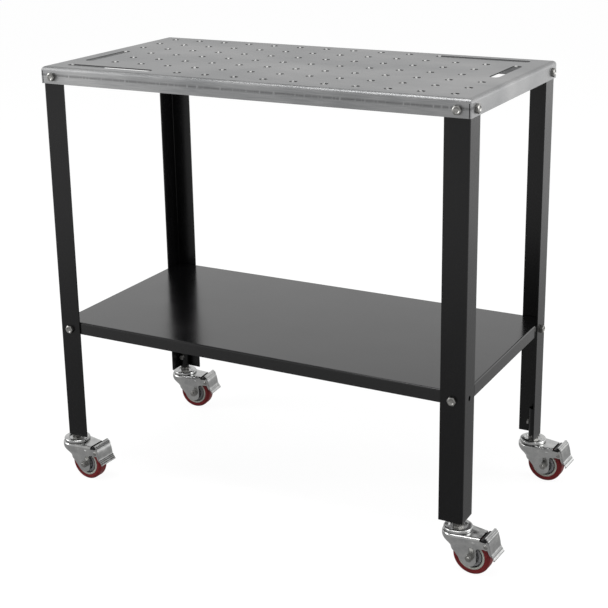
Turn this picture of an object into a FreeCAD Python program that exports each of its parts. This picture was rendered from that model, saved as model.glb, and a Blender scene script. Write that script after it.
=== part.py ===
import FreeCAD, Part
import math
import os

import Sketcher

# Rolling assembly table: a perforated, folded steel worktop on four steel angle legs,
# a folded lower shelf, and four threaded-stem swivel casters with foot brakes.
# Millimetres. Z points up, X runs along the table, Y from its front to its back.
# The origin is the middle of the worktop's upper face.

SIZES = (
    # worktop: one sheet, folded down on four sides
    ("top_length", 914.4, "worktop, left to right"),
    ("top_width", 457.2, "worktop, front to back"),
    ("top_sheet", 2.5, "worktop sheet"),
    ("top_skirt", 34.0, "depth of the folded skirt"),
    ("top_bend", 8.0, "outer radius of the fold"),
    ("corner_gap", 1.6, "slit between the long and the short skirt"),
    ("hole_diameter", 16.0, "fixture hole"),
    ("hole_pitch", 63.5, "fixture hole to fixture hole"),
    ("slot_width", 19.0, "clamp slot, across"),
    ("long_slot", 200.0, "clamp slot along X"),
    ("short_slot", 142.0, "clamp slot along Y"),
    ("skirt_bolt_inset", 25.0, "skirt bolt, from the worktop's end face"),
    ("skirt_bolt_drop", 20.0, "skirt bolt, below the worktop face"),
    # legs
    ("foot_drop", 798.0, "foot of the legs, below the worktop face"),
    ("leg_flange", 48.0, "width of each flange of the angle"),
    ("leg_sheet", 3.0, "thickness of the angle"),
    ("leg_bend", 4.0, "outer radius of the angle's fold"),
    # shelf
    ("shelf_drop", 537.5, "shelf face, below the worktop face"),
    ("shelf_apron", 25.5, "depth of the folded apron"),
    ("shelf_sheet", 1.5, "shelf sheet"),
    ("shelf_bend", 3.0, "outer radius of the apron's fold"),
    ("shelf_corner", 5.0, "plan radius of the shelf's corners"),
    ("shelf_notch", 9.0, "notch between the side apron and the corner tab"),
    ("shelf_bolt_inset", 26.5, "shelf bolt, from the worktop's end face"),
    ("shelf_bolt_drop", 16.5, "shelf bolt, below the shelf face"),
    # table fasteners
    ("bolt_diameter", 10.0, "hexagon bolt"),
    ("bolt_across", 17.0, "hexagon across flats, bolt and nut"),
    ("bolt_head", 6.4, "height of the bolt head"),
    ("bolt_nut", 8.0, "height of the nut"),
    ("bolt_grip_spare", 3.0, "thread that stands past the nut"),
    ("fit_gap", 0.05, "radial gap of a fit"),
    ("slip_gap", 0.3, "gap beside a moving face"),
    # caster stem and its socket in the leg
    ("caster_height", 97.0, "floor to the foot of the leg"),
    ("stem_diameter", 12.0, "stem of the caster"),
    ("stem_reach", 42.0, "stem above the foot of the leg"),
    ("socket_diameter", 20.0, "tube welded into the leg"),
    ("socket_length", 60.0, "tube welded into the leg"),
    ("weld_sink", 0.4, "tube sunk into each flange by the weld"),
    ("set_screw_diameter", 6.0, "screw that holds the stem"),
    ("set_screw_across", 10.0, "its hexagon, across flats"),
    ("set_screw_head", 4.0, "height of its head"),
    ("set_screw_height", 26.0, "screw, above the foot of the leg"),
    ("stem_nut_across", 19.0, "hexagon at the root of the stem"),
    ("stem_nut_height", 8.0, "hexagon at the root of the stem"),
    # caster: heights are above the floor, reaches are behind the swivel axis
    ("wheel_diameter", 75.0, "tyre"),
    ("wheel_width", 25.0, "tyre"),
    ("trail", 32.0, "axle behind the swivel axis"),
    ("crown_diameter", 60.0, "round front of the fork"),
    ("crown_top", 82.0, "upper face of the fork"),
    ("crown_shoulder", 5.0, "rounding of the fork's upper edge"),
    ("fork_sheet", 2.5, "fork sheet"),
    ("fork_half_width", 20.4, "rear of the fork, middle to outer face"),
    ("cheek_half_width", 16.5, "at the axle, middle to outer face"),
    ("cheek_joggle_top", 73.0, "height where the fork starts to close in"),
    ("cheek_joggle_end", 44.0, "height where the cheeks are parallel"),
    ("crown_lean", 3.5, "how far its front leans back down to there"),
    ("cheek_foot", 20.0, "cheek below the axle"),
    ("cheek_rear", 12.0, "cheek behind the axle"),
    ("arch_height", 60.0, "arch over the wheel, above the floor"),
    ("fork_plate_end", 52.0, "reach of the fork's upper plate"),
    ("fork_taper_end", 56.0, "reach where the fork has its rear width"),
    ("race_diameter", 55.2, "upper race"),
    ("race_sheet", 2.2, "upper race"),
    ("race_gap", 1.0, "between the race's rim and the fork"),
    ("ball_ring_radius", 21.5, "middle of the ball track"),
    ("ball_ring_size", 4.6, "height of the ball track"),
    ("rivet_head", 18.0, "foot of the stem under the fork"),
    ("rivet_head_height", 2.5, "foot of the stem under the fork"),
    ("hub_diameter", 55.0, "wheel core"),
    ("hub_rim", 4.0, "radial thickness of the core's rim"),
    ("hub_groove", 3.0, "width of the groove inside the rim"),
    ("hub_ring", 4.5, "width of the raised ring inside the groove"),
    ("hub_ring_drop", 2.5, "ring, below the face of the boss"),
    ("hub_boss", 24.0, "boss of the core"),
    ("hub_web", 12.0, "thickness of the core's web"),
    ("sleeve_diameter", 12.0, "spacer between the cheeks"),
    ("axle_diameter", 8.0, "axle bolt"),
    ("axle_across", 13.0, "its hexagons, across flats"),
    ("axle_head", 5.3, "height of the head"),
    ("axle_nut", 8.0, "height of the nut"),
    # foot brake
    ("pedal_pin_reach", 65.4, "pedal pin behind the swivel axis"),
    ("pedal_pin_height", 69.4, "pedal pin above the floor"),
    ("pedal_pin_diameter", 5.0, "pedal pin"),
    ("wing_radius", 7.0, "fork round the pedal pin"),
    ("pedal_sheet", 1.8, "pedal sheet"),
    ("pedal_width", 45.0, "pedal, side to side"),
    ("pedal_ear", 6.6, "radius of the pedal's flange round its pin"),
    ("pedal_lip", 4.0, "outer radius of the turned-up lip"),
    ("pedal_ridge", 1.15, "radius of the ridges pressed into the pedal"),
    ("shoe_gap", 2.4, "brake shoe off the tyre when released"),
    ("shoe_width", 24.0, "brake shoe"),
)

HOLE_COLUMNS = 14
# Rows of fixture holes from front to back: the first column with a hole, and how many.
# The four clamp slots take the places that are left out.
HOLE_ROWS = ((4, 10), (1, 13), (1, 13), (1, 12), (0, 13), (0, 13), (0, 10))
# Legs: name, quarter turns from the front left corner, sense of X and Y there.
CORNERS = (
    ("front_left", 0, -1, -1),
    ("front_right", 1, 1, -1),
    ("rear_right", 2, 1, 1),
    ("rear_left", 3, -1, 1),
)
# Direction in which each caster trails, in degrees from +X.
CASTER_TURN = {
    "front_left": -3.0,
    "front_right": -3.0,
    "rear_right": -3.0,
    "rear_left": 5.0,
}
# Leg flange that carries the shelf bolt: along X (front or rear) or along Y (side).
SHELF_BOLT_FLANGE = {
    "front_left": "X",
    "front_right": "X",
    "rear_right": "Y",
    "rear_left": "Y",
}

LEAST_CUT = 0.01
JOGGLE_PARTS = 6
X_AXIS = FreeCAD.Vector(1, 0, 0)
Y_AXIS = FreeCAD.Vector(0, 1, 0)
Z_AXIS = FreeCAD.Vector(0, 0, 1)

doc = FreeCAD.newDocument("assembly_table")
dims = doc.addObject("Spreadsheet::Sheet", "dims")
for row, (alias, value, meaning) in enumerate(SIZES, start=1):
    dims.set(f"A{row}", alias)
    dims.set(f"B{row}", str(value))
    dims.setAlias(f"B{row}", alias)
    dims.set(f"C{row}", meaning)
doc.recompute()
ALIASES = {alias for alias, _, _ in SIZES}
nodes = []


def size(expression):
    """The number that an expression on the sheet's names stands for now."""
    return float(dims.evalExpression(expression))


def bound(expression):
    """The same expression as other objects of the document have to write it."""
    words = []
    word = ""
    for letter in expression + " ":
        if letter.isalnum() or letter == "_":
            word += letter
            continue
        words.append(f"dims.{word}" if word in ALIASES else word)
        words.append(letter)
        word = ""
    return "".join(words).strip()


def bind(thing, **expressions):
    for name, expression in expressions.items():
        thing.setExpression(name, bound(expression))


def node(thing, label):
    thing.Label = label
    nodes.append(thing)
    return thing


def place(thing, x, y, z="0", turn=0.0):
    """Turns a finished piece about the upright through its origin, then moves it."""
    middle = FreeCAD.Vector(size(x), size(y), size(z))
    thing.Placement = FreeCAD.Placement(middle, FreeCAD.Rotation(Z_AXIS, turn))


# ---------------------------------------------------------------- sketches


def body(name):
    return doc.addObject("PartDesign::Body", name)


def sketch(owner, name, role="XY_Plane", offset="0"):
    """An empty sketch on one of the body's own planes, moved out along its normal."""
    drawing = owner.newObject("Sketcher::SketchObject", name)
    plane = next(f for f in owner.Origin.OriginFeatures if f.Role == role)
    drawing.AttachmentSupport = [(plane, "")]
    drawing.MapMode = "FlatFace"
    drawing.AttachmentOffset = FreeCAD.Placement(
        FreeCAD.Vector(0, 0, size(offset)), FreeCAD.Rotation()
    )
    if offset != "0":
        drawing.setExpression("AttachmentOffset.Base.z", bound(offset))
    return drawing


def pin_point(drawing, piece, end, x, y):
    """Ties one end of a piece of geometry to its two coordinates."""
    for kind, text in (("DistanceX", x), ("DistanceY", y)):
        datum = Sketcher.Constraint(kind, -1, 1, piece, end, size(text))
        number = drawing.addConstraint(datum)
        drawing.setExpression(f"Constraints[{number}]", bound(text))


def arc_between(start, end, radius):
    """The short arc from start to end; a negative radius bulges to the left. Sketch
    arcs run anticlockwise, so such an arc is drawn from its end to its start."""
    chord = end - start
    half = chord.Length / 2
    side = FreeCAD.Vector(-chord.y, chord.x, 0) / chord.Length
    sense = 1 if radius > 0 else -1
    rise = math.sqrt(max(radius * radius - half * half, 0.0))
    centre = (start + end) / 2 + side * rise * sense
    first, last = (start, end) if radius > 0 else (end, start)
    angles = [math.atan2(spot.y - centre.y, spot.x - centre.x) for spot in (first, last)]
    if angles[1] < angles[0]:
        angles[1] += 2 * math.pi
    return Part.ArcOfCircle(Part.Circle(centre, Z_AXIS, abs(radius)), *angles)


def outline(drawing, points):
    """A closed outline through points of expressions (x, y). A third entry makes the
    stretch to the next point an arc of that radius."""
    spots = [FreeCAD.Vector(size(p[0]), size(p[1]), 0) for p in points]
    first = drawing.GeometryCount
    turned = []
    for number, point in enumerate(points):
        start = spots[number]
        end = spots[(number + 1) % len(spots)]
        if len(point) == 2:
            drawing.addGeometry(Part.LineSegment(start, end), False)
            turned.append(False)
            continue
        radius = size(point[2])
        drawing.addGeometry(arc_between(start, end, radius), False)
        turned.append(radius < 0)
    ends = [(2, 1) if swapped else (1, 2) for swapped in turned]
    for number, point in enumerate(points):
        after = (number + 1) % len(points)
        pair = (first + number, ends[number][1], first + after, ends[after][0])
        drawing.addConstraint(Sketcher.Constraint("Coincident", *pair))
    for number, point in enumerate(points):
        pin_point(drawing, first + number, ends[number][0], point[0], point[1])
        if len(point) == 3:
            datum = Sketcher.Constraint("Radius", first + number, abs(size(point[2])))
            index = drawing.addConstraint(datum)
            drawing.setExpression(f"Constraints[{index}]", f"abs({bound(point[2])})")


def rectangle(drawing, low_x, low_y, high_x, high_y):
    corners = ((low_x, low_y), (high_x, low_y), (high_x, high_y), (low_x, high_y))
    outline(drawing, corners)


def circle(drawing, x, y, radius):
    centre = FreeCAD.Vector(size(x), size(y), 0)
    number = drawing.addGeometry(Part.Circle(centre, Z_AXIS, size(radius)), False)
    pin_point(drawing, number, 3, x, y)
    datum = Sketcher.Constraint("Radius", number, size(radius))
    index = drawing.addConstraint(datum)
    drawing.setExpression(f"Constraints[{index}]", bound(radius))


def hexagon(drawing, across):
    corners = []
    for number in range(6):
        angle = 60 * number
        reach = f"{across} / sqrt(3)"
        corners.append((f"{reach} * cos({angle})", f"{reach} * sin({angle})"))
    outline(drawing, corners)


# ---------------------------------------------------------------- features


def pad(owner, drawing, length, reverse=False, both=False):
    feature = owner.newObject("PartDesign::Pad", f"{drawing.Name}_pad")
    feature.Profile = drawing
    bind(feature, Length=length)
    feature.Reversed = reverse
    feature.Midplane = both
    drawing.Visibility = False
    doc.recompute()
    return feature


def pocket(owner, drawing, depth=None, reverse=False, both=False):
    """Cuts a sketch out of the body; with no depth it goes right through."""
    before = owner.Shape.Volume
    feature = owner.newObject("PartDesign::Pocket", f"{drawing.Name}_pocket")
    feature.Profile = drawing
    if depth is None:
        feature.Type = "ThroughAll"
    else:
        bind(feature, Length=depth)
    feature.Reversed = reverse
    feature.Midplane = both
    doc.recompute()
    if before - owner.Shape.Volume < LEAST_CUT:
        raise RuntimeError(f"{feature.Name} removed nothing")
    return feature


def revolve(owner, drawing, axis="V_Axis"):
    feature = owner.newObject("PartDesign::Revolution", f"{drawing.Name}_turned")
    feature.Profile = drawing
    feature.ReferenceAxis = (drawing, [axis])
    feature.Angle = 360
    doc.recompute()
    return feature


def fillet(owner, name, radius, wanted):
    """Rounds the edges of the body for which wanted(edge) holds."""
    base = owner.Tip
    edges = [
        f"Edge{number}"
        for number, edge in enumerate(owner.Shape.Edges, start=1)
        if wanted(edge)
    ]
    feature = owner.newObject("PartDesign::Fillet", name)
    feature.Base = (base, edges)
    bind(feature, Radius=radius)
    doc.recompute()
    return feature


def is_level(edge, height):
    """A straight edge that lies at one height."""
    return all(abs(v.Z - height) < 1e-6 for v in edge.Vertexes)


def is_upright(edge):
    box = edge.BoundBox
    return box.XLength < 1e-6 and box.YLength < 1e-6


# ---------------------------------------------------------------- worktop


def make_worktop():
    """Folded sheet with a grid of fixture holes, four clamp slots and bolt holes."""
    top = body("worktop")
    plan = sketch(top, "top_plan")
    end_x, end_y = "top_length / 2", "top_width / 2"
    rectangle(plan, f"-{end_x}", f"-{end_y}", end_x, end_y)
    pad(top, plan, "top_skirt", reverse=True)
    fillet(top, "top_fold", "top_bend", lambda edge: is_level(edge, 0.0))

    hollow = sketch(top, "top_hollow", offset="-top_skirt")
    in_x, in_y = f"({end_x} - top_sheet)", f"({end_y} - top_sheet)"
    rectangle(hollow, f"-{in_x}", f"-{in_y}", in_x, in_y)
    pocket(top, hollow, "top_skirt - top_sheet", reverse=True)
    under = -size("top_sheet")
    inner = "top_bend - top_sheet"
    fillet(top, "top_fold_inside", inner, lambda edge: is_level(edge, under))

    slits = sketch(top, "top_slits", "XZ_Plane")
    for side in ("", "-"):
        near, far = f"{side}({in_x} - corner_gap)", f"{side}{in_x}"
        rectangle(slits, near, "-top_skirt - 1", far, "-top_bend")
    pocket(top, slits, both=True)

    for role, reach in (("XZ_Plane", "top_length"), ("YZ_Plane", "top_width")):
        holes = sketch(top, f"skirt_holes_{role[:2].lower()}", role)
        for side in ("", "-"):
            spot = f"{side}({reach} / 2 - skirt_bolt_inset)"
            circle(holes, spot, "-skirt_bolt_drop", "bolt_diameter / 2 + fit_gap")
        pocket(top, holes, both=True)

    first_x = f"-{(HOLE_COLUMNS - 1) / 2} * hole_pitch"
    first_y = f"-{(len(HOLE_ROWS) - 1) / 2} * hole_pitch"
    for row_number, (column, count) in enumerate(HOLE_ROWS):
        start = sketch(top, f"fixture_hole_{row_number}")
        x = f"{first_x} + {column} * hole_pitch"
        y = f"{first_y} + {row_number} * hole_pitch"
        circle(start, x, y, "hole_diameter / 2")
        cut = pocket(top, start, "top_sheet")
        holes = top.newObject("PartDesign::LinearPattern", f"fixture_row_{row_number}")
        holes.Originals = [cut]
        holes.Direction = (start, ["H_Axis"])
        holes.Mode = "Spacing"
        holes.Occurrences = count
        bind(holes, Offset="hole_pitch")
        top.Tip = holes
        doc.recompute()

    slots = sketch(top, "clamp_slots")
    end = "slot_width / 2"
    for side in ("", "-"):
        # the long slots stand in the outer rows, the short ones in the outer columns
        x = f"{side}({first_x} + 1.5 * hole_pitch)"
        y = f"{side}({first_y})"
        slot(slots, x, y, f"long_slot / 2 - {end}", end, along_x=True)
        x = f"{side}({first_x})"
        y = f"{side}({first_y} + 2 * hole_pitch)"
        slot(slots, x, y, f"short_slot / 2 - {end}", end, along_x=False)
    pocket(top, slots, "top_sheet")
    return node(top, "worktop")


def slot(drawing, x, y, half_run, radius, along_x):
    """A round-ended slot about (x, y)."""
    run_x, run_y = (half_run, "0") if along_x else ("0", half_run)
    low_x, high_x = f"{x} - ({run_x})", f"{x} + ({run_x})"
    low_y, high_y = f"{y} - ({run_y})", f"{y} + ({run_y})"
    if along_x:
        points = (
            (low_x, f"{y} - {radius}"),
            (high_x, f"{y} - {radius}", radius),
            (f"{high_x} + {radius}", y, radius),
            (high_x, f"{y} + {radius}"),
            (low_x, f"{y} + {radius}", radius),
            (f"{low_x} - {radius}", y, radius),
        )
    else:
        points = (
            (f"{x} + {radius}", low_y),
            (f"{x} + {radius}", high_y, radius),
            (x, f"{high_y} + {radius}", radius),
            (f"{x} - {radius}", high_y),
            (f"{x} - {radius}", low_y, radius),
            (x, f"{low_y} - {radius}", radius),
        )
    outline(drawing, points)


# ---------------------------------------------------------------- legs


def make_leg(corner, quarter, sense_x, sense_y):
    """Steel angle with bolt holes and, welded into its foot, the caster's socket.
    Drawn with the outer corner at the origin and the flanges along +X and +Y."""
    leg = body(f"leg_{corner}")
    section = sketch(leg, f"angle_{corner}", offset="-top_bend")
    wide, thick = "leg_flange", "leg_sheet"
    points = (
        ("0", "0"), (wide, "0"), (wide, thick), (thick, thick), (thick, wide), ("0", wide),
    )
    outline(section, points)
    pad(leg, section, "foot_drop - top_bend", reverse=True)

    def at_corner(edge, reach):
        spot = edge.Vertexes[0]
        return is_upright(edge) and abs(spot.X - reach) + abs(spot.Y - reach) < 1e-6

    fillet(leg, f"fold_{corner}", "leg_bend", lambda e: at_corner(e, 0.0))
    inner = size("leg_sheet")
    fillet(leg, f"fold_in_{corner}", "leg_bend - leg_sheet", lambda e: at_corner(e, inner))

    axis = "leg_sheet + socket_diameter / 2 - weld_sink"
    tube = sketch(leg, f"socket_{corner}", offset="-foot_drop")
    circle(tube, axis, axis, "socket_diameter / 2")
    pad(leg, tube, "socket_length")
    bore = sketch(leg, f"socket_bore_{corner}", offset="-foot_drop")
    circle(bore, axis, axis, "stem_diameter / 2 + fit_gap")
    pocket(leg, bore, "socket_length", reverse=True)

    # the flanges are drilled alike: worktop bolts above, shelf bolts below
    for role in ("XZ_Plane", "YZ_Plane"):
        holes = sketch(leg, f"drill_{role[:2].lower()}_{corner}", role)
        radius = "bolt_diameter / 2 + fit_gap"
        circle(holes, "skirt_bolt_inset - top_sheet", "-skirt_bolt_drop", radius)
        low = "-shelf_drop - shelf_bolt_drop"
        circle(holes, "shelf_bolt_inset - top_sheet", low, radius)
        pocket(leg, holes, "leg_sheet", reverse=(role == "YZ_Plane"))

    # screw hole in the socket, square to the flange that runs along Y
    drilled = sketch(leg, f"set_hole_{corner}", "YZ_Plane", offset=axis)
    radius = "set_screw_diameter / 2 + fit_gap"
    circle(drilled, axis, "-foot_drop + set_screw_height", radius)
    pocket(leg, drilled, "socket_diameter", reverse=True)

    x = f"{sense_x} * (top_length / 2 - top_sheet)"
    y = f"{sense_y} * (top_width / 2 - top_sheet)"
    place(leg, x, y, turn=90.0 * quarter)
    return node(leg, f"leg_{corner}")


# ---------------------------------------------------------------- shelf


def make_shelf():
    """Folded tray turned upside down. Its corners reach into the legs, and a notch
    parts each side apron from the tab that is bolted to the leg."""
    shelf = body("shelf")
    end_x = "(top_length / 2 - top_sheet - leg_sheet)"
    end_y = "(top_width / 2 - top_sheet - leg_sheet)"
    plan = sketch(shelf, "shelf_plan", offset="-shelf_drop")
    rectangle(plan, f"-{end_x}", f"-{end_y}", end_x, end_y)
    pad(shelf, plan, "shelf_apron", reverse=True)
    fillet(shelf, "shelf_corners", "shelf_corner", is_upright)
    level = -size("shelf_drop")
    fillet(shelf, "shelf_fold", "shelf_bend", lambda edge: is_level(edge, level))

    hollow = sketch(shelf, "shelf_hollow", offset="-shelf_drop - shelf_apron")
    in_x, in_y = f"({end_x} - shelf_sheet)", f"({end_y} - shelf_sheet)"
    rectangle(hollow, f"-{in_x}", f"-{in_y}", in_x, in_y)
    pocket(shelf, hollow, "shelf_apron - shelf_sheet", reverse=True)

    notches = sketch(shelf, "shelf_notches", "YZ_Plane")
    tab = "(top_width / 2 - top_sheet - leg_flange)"
    for side in ("", "-"):
        near, far = f"{side}({tab} - shelf_notch)", f"{side}{tab}"
        low = "-shelf_drop - shelf_apron - 1"
        rectangle(notches, near, low, far, "-shelf_drop - shelf_bend")
    pocket(shelf, notches, both=True)

    for role, reach in (("XZ_Plane", "top_length"), ("YZ_Plane", "top_width")):
        holes = sketch(shelf, f"shelf_holes_{role[:2].lower()}", role)
        for side in ("", "-"):
            spot = f"{side}({reach} / 2 - shelf_bolt_inset)"
            low = "-shelf_drop - shelf_bolt_drop"
            circle(holes, spot, low, "bolt_diameter / 2 + fit_gap")
        pocket(shelf, holes, both=True)
    return node(shelf, "shelf")


# ---------------------------------------------------------------- fasteners


def hex_bolt(name, across, head, diameter, length):
    """Bolt along Z: the head's underside at the origin, the head above it."""
    bolt = body(name)
    flats = sketch(bolt, f"{name}_hexagon")
    hexagon(flats, across)
    pad(bolt, flats, head)
    shank = sketch(bolt, f"{name}_shank")
    circle(shank, "0", "0", f"{diameter} / 2")
    pad(bolt, shank, length, reverse=True)
    return bolt


def hex_nut(name, across, height, diameter):
    """Nut along Z, standing on the origin."""
    nut = body(name)
    flats = sketch(nut, f"{name}_hexagon")
    hexagon(flats, across)
    circle(flats, "0", "0", f"{diameter} / 2 + fit_gap")
    pad(nut, flats, height)
    return nut


def group(label, pattern, seats):
    """One node with a copy of the pattern's solid at each seat: a point and the
    direction that the pattern's Z axis takes there."""
    copies = []
    for spot, direction in seats:
        copy = pattern.Shape.copy()
        turn = FreeCAD.Rotation(Z_AXIS, direction)
        copy.Placement = FreeCAD.Placement(spot, turn)
        copies.append(copy)
    thing = doc.addObject("Part::Feature", label)
    thing.Shape = Part.makeCompound(copies)
    return node(thing, label)


def face_seats(inset, height, depth, flanges=None):
    """Seats on the skirts or leg flanges at each corner: a point depth inside the
    worktop's end face, and the outward direction."""
    seats = []
    for corner, _, sense_x, sense_y in CORNERS:
        along_x = size("top_length / 2")
        along_y = size("top_width / 2")
        step = size(inset)
        if flanges is None or flanges[corner] == "X":
            spot = (sense_x * (along_x - step), sense_y * (along_y - depth), height)
            seats.append((FreeCAD.Vector(*spot), Y_AXIS * sense_y))
        if flanges is None or flanges[corner] == "Y":
            spot = (sense_x * (along_x - depth), sense_y * (along_y - step), height)
            seats.append((FreeCAD.Vector(*spot), X_AXIS * sense_x))
    return seats


def flipped(seats):
    return [(spot, direction * -1) for spot, direction in seats]


def make_fasteners():
    """Worktop bolts go through skirt and leg, shelf bolts through leg and apron."""
    args = ("bolt_across", "bolt_head", "bolt_diameter")
    nut = hex_nut("table_nut", "bolt_across", "bolt_nut", "bolt_diameter")

    grip = "top_sheet + leg_sheet"
    bolt = hex_bolt("skirt_bolt", *args, f"{grip} + bolt_nut + bolt_grip_spare")
    height = -size("skirt_bolt_drop")
    group("worktop_bolts", bolt, face_seats("skirt_bolt_inset", height, 0.0))
    seats = face_seats("skirt_bolt_inset", height, size(grip))
    group("worktop_nuts", nut, flipped(seats))

    grip = "leg_sheet + shelf_sheet"
    bolt = hex_bolt("shelf_bolt", *args, f"{grip} + bolt_nut + bolt_grip_spare")
    height = -size("shelf_drop + shelf_bolt_drop")
    outside = size("top_sheet")
    inside = outside + size(grip)
    seats = face_seats("shelf_bolt_inset", height, outside, SHELF_BOLT_FLANGE)
    group("shelf_bolts", bolt, seats)
    seats = face_seats("shelf_bolt_inset", height, inside, SHELF_BOLT_FLANGE)
    group("shelf_nuts", nut, flipped(seats))


# ---------------------------------------------------------------- casters


def stem_axis(sense_x, sense_y):
    """Where a caster's swivel axis stands, in the table's frame."""
    inset = "top_sheet + leg_sheet + socket_diameter / 2 - weld_sink"
    x = f"{sense_x} * (top_length / 2 - ({inset}))"
    y = f"{sense_y} * (top_width / 2 - ({inset}))"
    return x, y


FLOOR = "-foot_drop - caster_height"
AXLE_HEIGHT = "(wheel_diameter / 2)"
RACE_BOTTOM = "(crown_top + ball_ring_size)"
RACE_TOP = f"({RACE_BOTTOM} + race_sheet)"
RACE_FLOOR = f"({RACE_TOP} - 2.4)"


def turned_piece(name, points, role="XZ_Plane", axis="V_Axis"):
    """A piece of revolution from its half section."""
    piece = body(name)
    section = sketch(piece, f"{name}_section", role)
    outline(section, points)
    revolve(piece, section, axis)
    return piece


def make_stem(corner, x, y):
    """Stem with its riveted foot under the fork's crown."""
    under = "(crown_top - fork_sheet - fit_gap)"
    radius = "stem_diameter / 2"
    points = (
        ("0", f"{under} - rivet_head_height"),
        ("rivet_head / 2", f"{under} - rivet_head_height"),
        ("rivet_head / 2", under),
        (radius, under),
        (radius, "caster_height + stem_reach"),
        ("0", "caster_height + stem_reach"),
    )
    stem = turned_piece(f"caster_stem_{corner}", points)
    place(stem, x, y, FLOOR)
    node(stem, f"caster_stem_{corner}")


def make_race(corner, x, y):
    """Dished upper race: a recessed middle that the stem's hexagon clamps, a raised
    track over the balls and a rolled rim."""
    bore = "stem_diameter / 2 + fit_gap"
    rim = "race_diameter / 2"
    track_in = "(ball_ring_radius - ball_ring_size / 2 - 1.2)"
    track_out = f"({rim} - race_sheet)"
    points = (
        (bore, f"{RACE_FLOOR} - race_sheet"),
        (f"{track_in} - 2.6", f"{RACE_FLOOR} - race_sheet"),
        (track_in, RACE_BOTTOM),
        (track_out, RACE_BOTTOM),
        (track_out, "crown_top + race_gap"),
        (rim, "crown_top + race_gap"),
        (rim, f"{RACE_TOP} - 2.6", "2.6"),
        (f"{rim} - 2.6", RACE_TOP),
        (f"{track_in} + 0.6", RACE_TOP),
        (f"{track_in} - 2", RACE_FLOOR),
        (bore, RACE_FLOOR),
    )
    race = turned_piece(f"upper_race_{corner}", points)
    place(race, x, y, FLOOR)
    node(race, f"upper_race_{corner}")


def make_ball_ring(corner, x, y):
    """The ball track between fork and upper race, one ring for its row of balls."""
    half = "ball_ring_size / 2"
    low, high = "(crown_top)", RACE_BOTTOM
    points = (
        (f"ball_ring_radius - {half}", low),
        (f"ball_ring_radius + {half}", low),
        (f"ball_ring_radius + {half}", high),
        (f"ball_ring_radius - {half}", high),
    )
    ring = turned_piece(f"ball_ring_{corner}", points)
    place(ring, x, y, FLOOR)
    node(ring, f"ball_ring_{corner}")


def fork_section(name, height, centre, front, half_width, rear):
    """Plan of the fork at one height: a round front, sides that leave it in a tangent
    and close in on the rear width, then run straight back."""
    drawing = doc.addObject("Sketcher::SketchObject", name)
    middle, radius, wide = size(centre), size(front), size(half_width)
    taper, back = size("fork_taper_end"), size(rear)
    reach = math.hypot(taper - middle, wide)
    meet = math.atan2(wide, taper - middle) + math.acos(radius / reach)
    ring = Part.Circle(FreeCAD.Vector(middle, 0, 0), Z_AXIS, radius)
    meet_x, meet_y = middle + radius * math.cos(meet), radius * math.sin(meet)
    spots = [
        FreeCAD.Vector(meet_x, -meet_y, 0),
        FreeCAD.Vector(taper, -wide, 0),
        FreeCAD.Vector(back, -wide, 0),
        FreeCAD.Vector(back, wide, 0),
        FreeCAD.Vector(taper, wide, 0),
        FreeCAD.Vector(meet_x, meet_y, 0),
    ]
    drawing.addGeometry(Part.ArcOfCircle(ring, meet, 2 * math.pi - meet), False)
    for start, end in zip(spots, spots[1:]):
        drawing.addGeometry(Part.LineSegment(start, end), False)
    pin_point(drawing, 0, 3, centre, "0")
    drawing.addConstraint(Sketcher.Constraint("Tangent", 0, 2, 1, 1))
    for number in range(1, 5):
        drawing.addConstraint(Sketcher.Constraint("Coincident", number, 2, number + 1, 1))
    drawing.addConstraint(Sketcher.Constraint("Tangent", 5, 2, 0, 1))
    index = drawing.addConstraint(Sketcher.Constraint("Radius", 0, radius))
    drawing.setExpression(f"Constraints[{index}]", bound(front))
    pin_point(drawing, 2, 1, "fork_taper_end", f"-{half_width}")
    pin_point(drawing, 3, 1, rear, f"-{half_width}")
    pin_point(drawing, 4, 1, rear, half_width)
    pin_point(drawing, 5, 1, "fork_taper_end", half_width)
    drawing.Placement = FreeCAD.Placement(
        FreeCAD.Vector(0, 0, size(height)), FreeCAD.Rotation()
    )
    drawing.setExpression("Placement.Base.z", bound(height))
    return drawing


def fork_form(name, inset, top, rear):
    """The fork's outer or inner form: upright round the crown, then drawn in and leaned
    back in an easy curve, and upright again down the cheeks."""
    crown = f"(crown_diameter / 2 - {inset})"
    wide = f"(fork_half_width - {inset})"
    narrow = f"(cheek_half_width - {inset})"
    high, low = "cheek_joggle_top", "cheek_joggle_end"

    def section(label, height, share):
        centre = f"crown_lean * {share}"
        front = f"({crown} + ({narrow} - {crown}) * {share})"
        width = f"({wide} + ({narrow} - {wide}) * {share})"
        return fork_section(f"{name}_{label}", height, centre, front, width, rear)

    blend = []
    for part in range(JOGGLE_PARTS + 1):
        share = (1 - math.cos(math.pi * part / JOGGLE_PARTS)) / 2
        height = f"{high} + ({low} - {high}) * {part} / {JOGGLE_PARTS}"
        blend.append(section(f"joggle_{part}", height, share))
    stages = (
        ("crown", [section("top", top, 0.0), section("under_top", high, 0.0)]),
        ("joggle", blend),
        ("cheeks", [section("over_foot", low, 1.0), section("foot", "1", 1.0)]),
    )
    lofts = []
    for label, sections in stages:
        loft = doc.addObject("Part::Loft", f"{name}_{label}")
        loft.Sections = sections
        loft.Solid = True
        loft.Ruled = len(sections) == 2
        lofts.append(loft)
    form = doc.addObject("Part::MultiFuse", name)
    form.Shapes = lofts
    return form


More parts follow.
